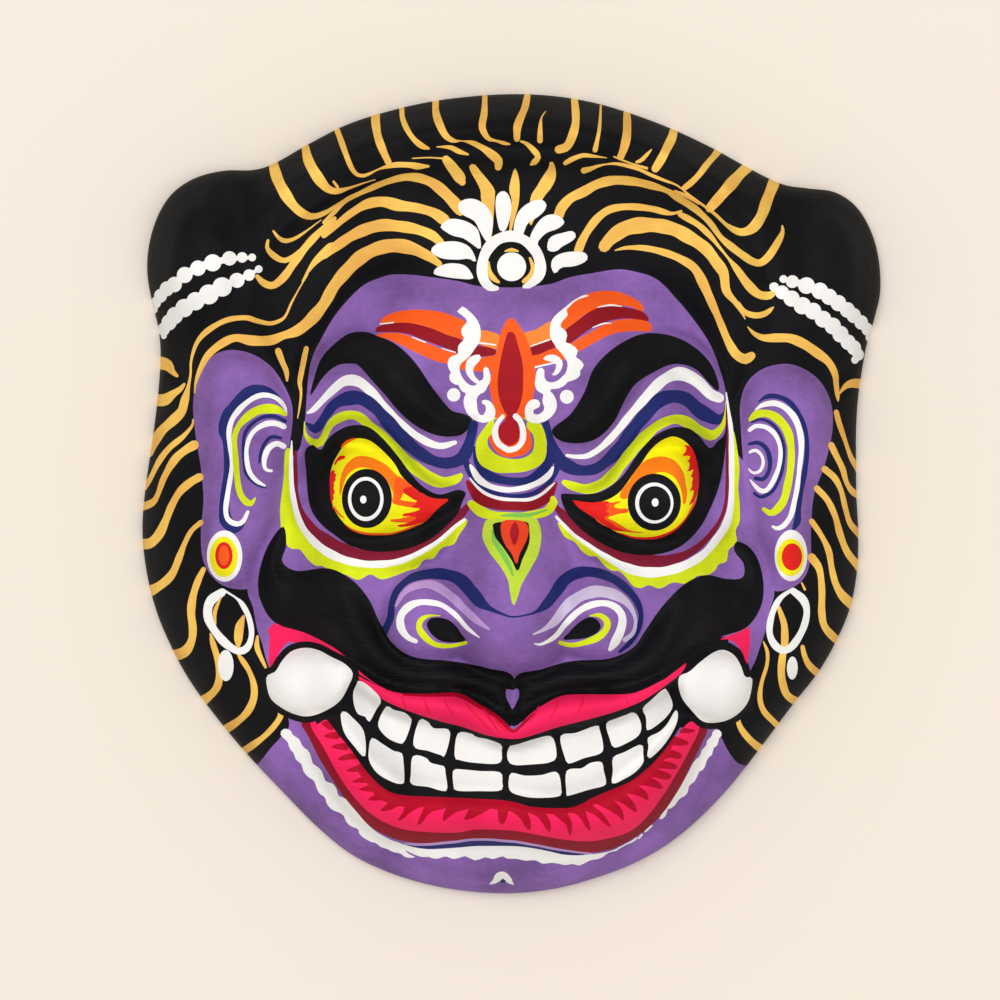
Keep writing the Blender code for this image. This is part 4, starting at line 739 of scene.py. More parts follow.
RIGHT_SCALLOPS = [
    (17, -10.5), (19.5, -15.5), (23.5, -17.8), (26, -21), (29, -23), (31.5, -23), (34, -26),
    (37, -28.3), (40, -28.5), (43, -31.5), (45, -34), (48, -34.8), (51, -33.7), (55, -35), (59, -33),
    (61, -32.7), (64, -33.2), (67, -32), (69, -30.3), (73, -30), (76, -28), (77, -26), (80, -25),
    (81, -20.5), (84, -18), (83.5, -13.5), (85, -10), (85, -3), (84.5, 3), (85, 9), (84, 18),
    (82.7, 24), (81.9, 20), (82, 4), (81.7, -4), (80, -11), (76, -17), (71, -22.5), (64, -26.5),
    (56, -28.7), (48, -28.7), (41, -26.5), (34, -22.5), (28, -18.5), (23, -15), (19, -11),
]

# The bridge of the nose, as (colour, stroke) from the top down
BRIDGE_BANDS = [
    ("navy", [(-13.5, 17, 2), (-12.5, 12, 3), (-10, 8, 3.4), (-6, 6, 3.2), (0, 4.8, 3), (6, 5.3, 3),
              (11, 8.5, 3.4), (14, 13, 4), (14.5, 18, 3)]),
    ("navy", [(-17, 12, 2.5), (-15.5, 8, 2.2), (-12.5, 4, 2), (-9, 1.6, 1.7), (-5, 0.2, 1.5),
              (0, -0.6), (5, -0.4), (10, 1.3, 1.8), (14, 4.5, 2), (16.5, 9, 2.4), (17.5, 13, 2)]),
    ("white", [(-15.3, 10.8, 1), (-14.3, 9, 2.2), (-12, 5.5, 2.5), (-8, 3, 2), (-3, 1.8, 2), (1, 1.8),
               (6, 2.8), (11, 5, 2.2), (14, 7.5, 2), (15.3, 10, 1)]),
    ("wine", [(-16.3, 4.6, 1.6), (-14.6, 1.8, 3.4), (-12.2, -0.9, 4.4), (-8, -2.9, 4.4),
              (-2, -3.8, 4.2), (4, -4, 4.4), (9, -3, 4.8), (13, -0.2, 4.6), (16.2, 4, 2)]),
    ("white", [(-15.5, 6, 0.5), (-12.5, 2.5, 1), (-9, 0, 1.2), (-4, -1.6, 1.3), (2, -2), (7, -1.8, 1.2),
               (11, 0), (14, 2.5, 1), (16, 4.3, 0.4)]),
    ("lime", [(-15, -3.5, 3), (-12, -6, 4), (-8, -7.5, 3.5), (-3, -7.8, 2.5), (3, -8, 2.5),
              (8, -7.5, 3), (13, -6.3, 3.5), (15.5, -3, 3), (15.3, -1.5, 2)]),
    ("green", [(-4, -7.9, 0.6), (0, -7.7, 1.6), (6, -7.7, 1.6), (13, -5.8, 0.6)]),
]
BRIDGE_DIAMOND = [
    (-6, -9), (-9.4, -9.5), (-10.8, -13.5), (-10.5, -17), (-8, -21.8), (-4, -27), (-1.4, -31.8),
    (-0.6, -36.5), (0.6, -41.2), (2.4, -37.5), (3.6, -33.6), (7.1, -27.4), (9.9, -22), (11, -15.5),
    (10, -10.5), (7.5, -8.5),
]
DIAMOND_SHADE = [(-6.9, -13, 0.8), (-6.4, -17, 1.6), (-3.6, -21.6, 2), (-1, -26, 1.8), (0.4, -30, 0.8)]
BRIDGE_CUP_OUTER = [
    (-6.5, 28.5), (-10, 25), (-13, 20), (-13.2, 15), (-11.5, 11), (-8, 9), (-5, 8), (0, 8), (5, 8.5),
    (10, 10.5), (12.5, 13.5), (13, 18), (12.3, 23), (10, 27), (5, 29), (0, 29),
]
BRIDGE_CUP_INNER = [
    (-6, 28), (-6, 24), (-8.7, 21), (-8.7, 18), (-6, 15), (-2, 13.5), (3, 13.2), (7, 15), (8.3, 18),
    (8, 22), (5.5, 25), (5, 28),
]
BRIDGE_GEM_BED = [
    (-6, -10.5), (-6.8, -13), (-6, -16), (-3, -20), (0, -24.5), (2.2, -28.5), (4, -24), (6.5, -18),
    (6.5, -13), (5, -10),
]
BRIDGE_GEM = [
    (-3.5, -10), (-4, -14), (-2.5, -18.5), (0, -22), (1.8, -26), (3, -22), (5.5, -17), (6.3, -13),
    (5, -10.3), (1, -9.4),
]
BRIDGE_GEM_CORE = [(1.2, -10), (-0.7, -14), (1, -19), (2.8, -14)]

# Bands round the nose wings, as (colour, stroke)
WING_BANDS = [
    ("navy", [(-47.5, -51.3, 3), (-45, -46, 2.6), (-44.3, -40, 2.4), (-42, -35, 2.6), (-37, -31, 3),
              (-30, -29.5, 3.7), (-24, -29.8, 4.2), (-19, -31.8, 5), (-15, -36, 5), (-11.5, -40, 4),
              (-8, -42.3, 2), (-4, -44, 1), (0, -45.3, 0.8), (5, -44.7, 0.6), (9, -43.5, 1.2),
              (13, -40.5, 3.5), (16.5, -36, 4.5), (20, -31.5, 4.5), (25, -29, 4), (31, -29, 3.8),
              (37, -31, 3.5), (42, -34.5, 3), (46, -39, 2.6), (48, -44.5, 2), (47, -50, 2),
              (44, -55, 1.8), (40, -58.5, 1)]),
    ("lilac", [(-43, -41.5, 0.8), (-40, -36.6, 2), (-36, -34.1, 2.6), (-31, -33.3, 3), (-27, -34.6, 3.2),
               (-22, -38.2, 3.2), (-17, -43, 3), (-12.5, -47, 2.2), (-8.5, -49.8, 0.8)]),
    ("white", [(-35.5, -54.5, 1.5), (-38.5, -53, 2.2), (-41, -49.5, 3), (-41, -45, 3), (-38, -41.5, 2.8),
               (-34, -40, 2.2), (-29, -40.2), (-25, -41.5, 2), (-20.5, -45, 1.8), (-16.5, -49.5, 1.5),
               (-12, -53, 0.4)]),
    ("lime", [(-17, -55, 1.2), (-22, -56.2, 1.5), (-28, -55.8, 2), (-32, -53, 2.5), (-34.3, -49.5, 2.2),
              (-33.5, -46.5, 2), (-30.5, -45, 1), (-26.5, -45, 0.4)]),
    ("pale_lilac", [(8, -51.8, 0.5), (12, -50, 1.5), (16, -47, 3), (20, -42, 4), (25, -38, 4.3),
                    (31, -36, 4.3), (37, -36.8, 3.8), (42, -39.5, 3), (45, -43.5, 1.6),
                    (46, -47.5, 1.3), (45, -51.5, 1.5), (42, -54, 1.8)]),
    ("white", [(8.5, -55.3, 0.4), (11, -55.5, 1), (16, -52.8, 1.8), (20, -48, 2.2), (25, -43.2, 2.3),
               (30, -40.8), (35, -40.4, 2.4), (39, -42.2, 2.6), (41, -45.5, 3), (40.5, -50, 3),
               (38.5, -54.5, 3.5), (36.5, -57.5, 1.5)]),
    ("lime", [(18, -55, 1.5), (22, -56, 1.6), (27, -55, 2.2), (32, -53, 2.8), (35, -50, 2.5),
              (35.3, -47, 2.3), (32.5, -44.8, 1.8), (29, -45, 0.6)]),
]
NOSTRILS = [
    [(-31.5, -48), (-30, -46), (-27, -45.7), (-23.5, -46.5), (-20.5, -49), (-18.5, -52), (-17, -54.3),
     (-22, -55), (-26.5, -54.3), (-29.5, -52), (-31, -49.8)],
    [(19, -53.8), (21, -51.5), (24, -48.3), (28, -45.7), (31, -46), (33, -48.5), (32, -51),
     (28.5, -53), (24, -53.8)],
]

# The mouth: corners, fang balls, lips and teeth
PHILTRUM = [
    (-2, -72.3), (-2, -75.5), (-0.8, -78), (0.4, -80), (1.5, -78), (2.8, -75), (2.3, -72), (0.5, -72.8),
]
MOUTH_CORNERS = [
    [(-88.5, -48), (-90, -52), (-90.5, -58), (-90.5, -63), (-89.5, -65), (-88, -62), (-86, -58),
     (-82, -54.3), (-76, -53.8), (-71, -55), (-77, -52), (-84, -50)],
    [(88.5, -49.5), (89, -54), (88.5, -60), (87.7, -63.5), (86.5, -60), (84, -56), (81, -54.2),
     (77.5, -54), (83, -52), (86, -50.8)],
]
CORNER_LINES = [
    [(-88, -51.3, 6), (-82, -52.1, 6), (-75, -53.6, 6), (-68, -57.2, 6), (-62, -62.2, 6), (-56, -67.4, 5.6),
     (-50, -70.8, 4.6), (-43, -72.6, 4), (-36, -74, 2.4)],
]
MOUSTACHE_HEMS = [
    [(4, -83.5, 2), (10, -79, 2.8), (18, -75, 2.8), (34, -73.8, 2.8), (46, -72.8, 2.8), (55, -68.8, 3),
     (62, -64, 4), (70, -58.5, 4.4), (76, -55.5, 4.4), (79.5, -54.5, 3)],
    [(-4, -83, 2), (-10, -78.8, 2.8), (-20, -74, 2.4), (-36, -73.4, 2.4), (-46, -72, 2)],
    [(74, -56, 4), (80, -57, 4), (84.6, -60, 4), (87.4, -65, 3), (88.6, -70, 2)],
    [(58, -83.5, 4), (63, -85, 4), (68, -85.4, 3), (72, -84.6, 2)],
]
LIP_TIP = [
    (52, -71.8), (55, -70), (57.6, -68.1), (61.3, -65.3), (65.1, -62.8), (63.3, -66.2), (61.3, -68.1),
    (57.6, -70.6), (53, -73),
]
LEFT_BALL = [
    (-91.5, -70), (-90, -76), (-86, -79.5), (-81, -82), (-76, -82.8), (-70, -81), (-64, -77),
    (-60.5, -71), (-59, -66.5), (-62, -63), (-67, -60.5), (-72, -58), (-77, -57.2), (-82, -58.5),
    (-85.5, -62), (-88, -66), (-91, -67.5),
]
RIGHT_BALL = [
    (62.5, -67.5), (66, -66), (70, -62.5), (75, -59), (79, -58), (83, -60), (85.5, -64), (87, -68),
    (89.7, -68.5), (89.5, -73), (88, -78), (84.5, -82), (80, -84.5), (75, -85.3), (71, -84.5),
    (67, -80.5), (63.5, -76), (62, -71),
]
MOUTH = [
    (-73, -84.5), (-67, -62), (-58, -66), (-48, -72), (-40, -75.5), (-20, -77), (0, -88), (20, -77),
    (40, -75.5), (52, -71), (60, -66), (66, -63), (74, -86), (66, -84.3), (63, -86.5), (60, -91),
    (55, -97.5), (50, -102.5), (44, -107), (36, -110.5), (30, -113), (26, -115.3), (20, -116.8),
    (8, -116.3), (3, -115), (-3, -113.8), (-12, -113.3), (-25, -112.7), (-38, -112.3), (-45, -111),
    (-50, -107.5), (-55, -102), (-60, -95), (-65, -89), (-69, -84),
]
UPPER_LIP = [
    (-65, -59.7), (-58, -66.5), (-52, -70), (-45, -73), (-40, -74), (-30, -74), (-22, -73.7),
    (-18, -74.8), (-12, -78), (-6, -81.5), (-3, -84.5), (0, -87.5), (3, -85.5), (7, -81.5), (12, -78),
    (18, -75), (24, -74.3), (34, -74.3), (44, -74), (50, -72), (54, -70), (60, -66.8), (65, -62.5),
    (62, -67), (58, -70.5), (53, -74), (48, -77), (42, -79.5), (35, -81.8), (27, -84), (18, -86.3),
    (10, -88.8), (3, -90.7), (-2, -90.7), (-10, -89.3), (-18, -86.5), (-26, -84.5), (-34, -82),
    (-42, -79), (-48, -76), (-54, -71), (-58, -67.5),
]
UPPER_LIP_EDGE = [
    (-40, -74.3, 0.8), (-30, -74.6, 1.2), (-20, -74.6, 1.5), (-12, -78.7, 1.5), (-5, -83, 1.5),
    (0, -87.8, 1.5), (3, -86.3, 1.2), (8, -81.5, 0.5),
]
LOWER_LIP_OUTER = [
    (-78.5, -85), (-76, -90), (-72, -98), (-69, -103), (-64, -111), (-60, -117), (-55, -122.5),
    (-48, -127), (-40, -129.7), (-30, -130.5), (-20, -129.8), (-12, -128.5), (0, -129.3),
    (10, -130.8), (20, -133), (30, -134), (38, -132.5), (45, -129), (52, -124), (58, -117),
    (63, -109), (67, -101), (70.5, -94), (73, -87.5), (68, -86), (60, -96), (40, -112), (0, -118),
    (-40, -116), (-60, -98), (-72, -84),
]
LOWER_LIP = [
    (-75, -85.5), (-70, -94.5), (-66, -102), (-61, -110), (-55, -117), (-48, -122), (-40, -125),
    (-30, -126), (-20, -126), (-13, -124.8), (0, -125.2), (8, -126.5), (18, -128.5), (28, -129.5),
    (36, -128.5), (44, -126), (50, -121), (56, -113), (61, -105), (66, -96), (70, -87), (66, -85),
    (58, -94), (40, -109), (0, -114), (-40, -112), (-60, -94), (-69, -84),
]
LIP_SHADE = [
    (-56, -103.5, 2), (-52, -106.6, 4.5), (-48, -110.5, 6), (-41, -113, 6), (-25, -113.8, 6),
    (-12, -113.8, 6), (0, -114.8, 6), (10, -116, 5), (20, -116.4, 5), (29, -113.6, 5), (38, -110, 5.5),
    (46, -106, 5.5), (52, -101, 4.5), (57, -96, 3), (61, -90.5, 1),
]
# Dark brush marks in the lower lip, from left to right
LIP_MARKS = [
    [(-71, -85.2), (-68, -84.5), (-66, -87.4), (-68, -87.8), (-70, -86.4)],
    [(-70.2, -90), (-66.6, -88.6), (-63.6, -89.4), (-64.4, -91.2), (-68, -91)],
    [(-67.4, -94.2), (-64.6, -92.9), (-61, -93), (-61, -95.4), (-64.5, -95)],
    [(-65, -98.8), (-62, -97), (-58, -96.4), (-56.4, -98.4), (-60, -98.8), (-62.5, -99.2)],
    [(-61.6, -103), (-58.6, -101.4), (-54.6, -100.2), (-52.8, -103.4), (-56.4, -103.4), (-59, -103.4)],
    [(-59.6, -107.2), (-56.5, -105.6), (-52, -104), (-52.4, -107.4), (-56.4, -107.4)],
    [(-57.2, -110), (-54.6, -108.9), (-51, -107.4), (-48.6, -111), (-54, -110.6)],
    [(-53.6, -113.8), (-50.6, -111.8), (-47, -109.6), (-43.4, -113.6), (-47.6, -113.9), (-50.5, -114.1)],
    [(-49, -118), (-46.6, -115.6), (-43.6, -113), (-39, -115.3), (-42.4, -116.2), (-45.4, -117.7)],
    [(-42.5, -121.8), (-40.8, -118.9), (-38.2, -114.6), (-31.2, -115.2), (-35.6, -117.2),
     (-38.2, -118.9), (-40.2, -120.8)],
    [(-35.2, -123.3), (-33.8, -119.4), (-31, -114.8), (-24.4, -116.6), (-29, -117.9), (-31.6, -119.8),
     (-33.2, -122.2)],
    [(-25.5, -121.8), (-25.4, -119.4), (-23.4, -116), (-15.8, -116.8), (-20, -118), (-22.6, -119.5),
     (-24.4, -121.2)],
    [(-17.8, -121), (-16.6, -118.6), (-14.6, -116), (-5, -115.2), (-8, -117), (-11.4, -118.9),
     (-14, -120.2), (-16, -121)],
    [(-5, -115), (-4.9, -121), (-3.6, -123), (-2.2, -121.4), (-1.4, -116.8)],
    [(-1.4, -116.8), (2, -119.4), (4, -121.6), (5, -123.8), (6.9, -125.2), (7.1, -122), (6.4, -119.5),
     (5, -117)],
    [(5, -117.4), (9, -119.6), (11, -121.6), (12.6, -124.2), (14.3, -125.8), (14.5, -122.5),
     (13, -119), (10.6, -116)],
    [(10.6, -116.4), (15, -118.8), (18.6, -121.6), (20.4, -123.2), (21, -125.6), (22, -127.5),
     (22.5, -124), (22, -121), (20, -118), (18, -116.4)],
    [(18, -116.6), (23, -118.6), (25.6, -120.6), (27.4, -123.6), (29.4, -125.6), (29, -122.5),
     (28, -120), (26.6, -117)],
    [(26.2, -116.8), (31, -119.4), (34, -122.1), (37.1, -124.3), (35.4, -121), (33, -118),
     (30, -115.6), (28.8, -112.8)],
    [(28.8, -113.2), (33, -116), (37, -118), (40, -120.1), (41.6, -122), (41.7, -119.2), (40.6, -116.6),
     (38.4, -114.4), (36, -112.6)],
    [(36, -113), (41, -115), (44.2, -117.3), (46.7, -118.7), (45.9, -115.5), (43.6, -112.6),
     (41.2, -110.6)],
    [(41, -110.8), (45.6, -111.8), (48.6, -112.9), (51, -114.2), (50.5, -111.4), (48.4, -109.4),
     (45, -107.6)],
    [(44.8, -107.8), (50, -108.5), (53.4, -109.3), (56.3, -109.9), (55.1, -107.4), (52.6, -105.8),
     (49.2, -104.2)],
    [(49.4, -104.4), (54, -105.6), (57, -106.3), (59.5, -105.8), (59.1, -104.3), (56, -102.9),
     (52, -102)],
    [(52, -102.2), (56, -102.1), (59.6, -102.4), (61.9, -102.1), (60.7, -100.4), (57.6, -99.4),
     (54, -99.2)],
    [(55, -98.8), (59, -98.1), (62, -98.6), (63.7, -98), (62.3, -96.1), (59, -95), (56.6, -95)],
    [(59.4, -93.2), (63.4, -93.6), (66.2, -92.9), (64, -91.3), (61.2, -90.6)],
    [(62.4, -88.8), (66, -89), (68.8, -88), (66, -87.3), (63.4, -87.2)],
]
UPPER_LIP_MARKS = [
    [(-40.6, -75.2, 0.4), (-40, -77.4, 0.8), (-39.2, -79.6, 0.4)],
    [(-32.6, -75.4, 0.4), (-31.8, -78.4, 1), (-30.2, -81.6, 0.5)],
    [(-25, -75.6, 0.4), (-24, -78.4, 0.9), (-21.4, -82, 0.4)],
    [(-17, -77.6, 0.5), (-14.6, -80.6, 1.1), (-10.6, -84.6, 1.1), (-7.6, -88, 0.5)],
    [(-10.6, -79.6, 0.5), (-8.6, -82.6, 1.3), (-4.6, -88.2, 0.6)],
    [(-6.4, -82.6, 0.5), (-4.6, -85.4, 1.3), (-1.4, -88.8, 0.6)],
    [(10, -78.6, 0.4), (8.6, -81.6, 0.8), (6.6, -84.4, 0.4)],
    [(17.4, -76.6, 0.4), (16.2, -79.8, 0.9), (14.2, -83.4, 0.4)],
    [(26.8, -75.6, 0.4), (26, -78.2, 0.8), (24.6, -81.2, 0.4)],
    [(42.6, -75.2, 0.4), (43, -77.6, 0.6)],
]
TEETH = [
    [(-58, -70), (-55, -69.8), (-50, -74), (-48.5, -77), (-50.3, -80), (-53, -84.8), (-54.5, -82.8),
     (-57.5, -81.5), (-59, -76)],
    [(-46.5, -78.8), (-44, -80), (-40, -81), (-38, -82.5), (-37.2, -84.5), (-40, -92.2), (-43, -92.3),
     (-47, -90), (-49.7, -85.5)],
    [(-34.3, -84), (-31, -84.7), (-29, -87), (-23, -88), (-24.7, -97), (-26.5, -97), (-31, -95.5),
     (-36.5, -93.5)],
    [(-20, -89), (-15, -89), (-13, -90.3), (-9, -91), (-4, -93), (-3.7, -95.5), (-4.5, -100),
     (-13, -100), (-19, -99), (-21.2, -97.5)],
    [(-0.5, -93.5), (2, -93), (9, -90.8), (15, -90.2), (16.7, -97.5), (14, -99.8), (8, -100.5),
     (1.5, -100.8), (-1, -99.7), (-1.7, -96.5)],
    [(18.2, -90), (24, -88.7), (31.5, -86), (32.7, -87.5), (34, -93), (33.3, -96.3), (27, -98.2),
     (21.5, -100.2), (20, -98.5)],
    [(35.2, -85.3), (39, -83.3), (43, -81.8), (45, -81), (47, -82.5), (48.3, -86.5), (47.3, -89.7),
     (44, -92), (38.3, -94.3), (36.5, -91)],
    [(48.7, -79.7), (52, -76.3), (56, -72.7), (57.7, -72.8), (60, -78.5), (58, -82.5), (55, -85.3),
     (51.5, -87.7), (50.2, -87.5), (50, -83)],
    [(-63.7, -82), (-62, -81), (-59.5, -83), (-55, -88.5), (-54.7, -97.8), (-59, -93.5),
     (-62.5, -88.5)],
    [(-52, -90.8), (-48, -93), (-44, -95.5), (-41, -96.3), (-40.3, -99), (-40, -107), (-41.5, -108),
     (-45, -107), (-50, -104), (-53, -99.5), (-53.2, -95)],
    [(-36.7, -97.5), (-32, -98), (-30, -100), (-25, -101.3), (-24.7, -103), (-24, -110),
     (-27, -110.2), (-31, -109), (-37.3, -108), (-37.5, -104)],
    [(-21.8, -103), (-20, -102.3), (-12, -103), (-4.3, -103.5), (-3.5, -107), (-4, -110.2),
     (-12, -110.5), (-20.5, -110.3), (-21.7, -108)],
    [(0, -103.7), (5, -104.7), (11, -104.5), (17, -103.5), (18.5, -110), (17.5, -112.5), (8, -113),
     (1, -111.5), (-1, -109.5), (-1, -106)],
    [(20.5, -103), (26, -102), (28, -100.7), (30, -99.8), (33.5, -99.7), (34.3, -103), (35.2, -107),
     (34.3, -108.7), (29, -110), (21, -112.3), (20.4, -111)],
    [(37.8, -98), (42, -96), (48.3, -93.2), (49, -97), (49, -100), (46, -103.5), (42, -106),
     (37.5, -107.8), (37.7, -103)],
    [(50.8, -90.7), (55, -88.5), (58, -85.5), (61, -80.5), (62, -82), (61, -86.5), (57, -93),
     (52, -98), (50.5, -97.5), (51, -94)],
]

# The chin: lines under the lip and the white scalloped band
CHIN_LINES = [
    ("lilac", [(-40, -130.5, 0.5), (-33, -131, 1.2), (-22, -130, 1.4), (-12, -128.9, 1.3),
               (0, -129.7, 1.4), (10, -131.3, 1.2), (20, -133.3, 1.2), (30, -134.5, 0.6)]),
    ("navy", [(-40, -131.5, 0.6), (-33, -132, 1.2), (-22, -131.2, 1.7), (-12, -130.2, 2), (0, -130.9, 1.8),
              (8, -132.1, 1.6), (18, -133.9, 1.4), (27, -134.9, 0.8)]),
    ("white", [(40, -132.5, 0.6), (43, -130.9, 0.5), (45.2, -129.9, 0.8), (46.8, -128.6, 0.6)]),
    ("white", [(47.6, -128.7, 0.8), (48.7, -127.4, 0.9)]), ("white", [(50, -126.2, 0.7), (52.4, -124, 0.7)]),
]
# The two white ropes beside the chin and the band that joins them under the lip
CHIN_ROPES = [
    [(-85, -87.6), (-82.6, -88.2), (-81.6, -90), (-79.4, -91.4), (-78, -94.2), (-75.8, -95.8),
     (-74.8, -98.4), (-74.2, -100.6), (-71.6, -102.4), (-70.4, -104.6), (-69.4, -107.2), (-67, -107.9),
     (-65.4, -109.8), (-64.6, -112.6), (-62.2, -113.4), (-60.6, -115.4), (-58, -118.4), (-55, -122),
     (-52, -125), (-48.5, -127.4), (-45, -129.2), (-41, -130.7), (-40, -132.6), (-39.6, -133.5),
     (-38, -134.8), (-36, -135.7), (-37.6, -136.1), (-40, -135.7), (-41.6, -134.4), (-44.4, -133.9),
     (-46.4, -132.8), (-49, -132), (-50.6, -130.6), (-52.6, -130.1), (-55, -128.8), (-56.9, -127.2),
     (-57.4, -125.2), (-59.8, -124.4), (-61.8, -122.6), (-62.8, -120.2), (-64.4, -119.1), (-67.2, -118),
     (-69.2, -115.6), (-69.8, -113.3), (-71.8, -112), (-73, -109.6), (-73.8, -107.2), (-76.2, -105.6),
     (-78, -103.2), (-78.4, -101), (-80.6, -99.2), (-81.4, -96.8), (-83, -95), (-83.6, -92.6),
     (-85.4, -91), (-86.4, -89.2)],
    [(55.2, -121.6), (56.8, -121.2), (58, -119.4), (58.4, -117.6), (60, -117.3), (61.6, -115.6),
     (62.8, -113.8), (64.6, -113), (65.8, -111.6), (66.4, -109), (68.4, -107.4), (69.4, -105.4),
     (70.2, -103.6), (71.8, -102.8), (72.6, -100.6), (73.4, -98.6), (75, -97.2), (75.4, -95),
     (77, -93.6), (77.4, -91.4), (78.6, -89.8), (77.8, -88.2), (76.2, -87.8), (75, -88.8),
     (74.6, -90.6), (73, -91.8), (72.6, -94), (71, -95.4), (70.4, -97.6), (68.8, -99), (67.6, -100.6),
     (66.4, -103), (64.6, -106.4), (63, -109.4), (61, -112.6), (59, -115.8), (57.4, -118),
     (55.6, -120.4)],
]
CHIN_BAND = [
    (-43, -130.2), (-38, -131.6), (-34, -132.4), (-30, -132.7), (-25, -132.4), (-20, -132),
    (-14, -131.4), (-8, -131.3), (0, -131.3), (5, -131.7), (10, -132.5), (15, -133.6), (19, -134.6),
    (24, -135), (28, -134.8), (31, -134.6), (35, -134), (38, -133.2), (40.6, -132.2), (39, -133.7),
    (37.4, -133.7), (35.6, -134.6), (34, -135.9), (32, -136.6), (29.5, -137), (27, -138.3), (25, -139),
    (23, -138.3), (20, -138.7), (15.6, -137.8), (11.6, -138.1), (9, -136.8), (5, -136.9), (2, -136.2),
    (-1.6, -136.1), (-3.4, -135.2), (-5.4, -135.9), (-7.4, -136.3), (-9.4, -135.6), (-11.4, -136.2),
    (-13.6, -136.8), (-15.6, -136), (-17.6, -135.2), (-19.8, -136), (-22, -136.3), (-24.6, -135.3),
    (-26.6, -136), (-29, -136.3), (-31, -135.6), (-33.4, -135.7), (-36, -134.9), (-38.4, -133.8),
    (-40.6, -132.6),
]
CHIN_MARK = [
    (-8.5, -146.3), (-7, -144.5), (-6.5, -143), (-5.5, -141.7), (-4, -141.1), (-2.5, -141.3),
    (-1, -142.5), (0, -144), (0.5, -145.5), (1, -146.6), (-0.5, -146), (-2, -145.3), (-3.2, -144),
    (-4.5, -145), (-6, -145.8),
]
CHIN_MARK_SHADE = [(-3.2, -143.9), (-1.9, -145.2), (-3, -145.8), (-4.4, -145.1)]

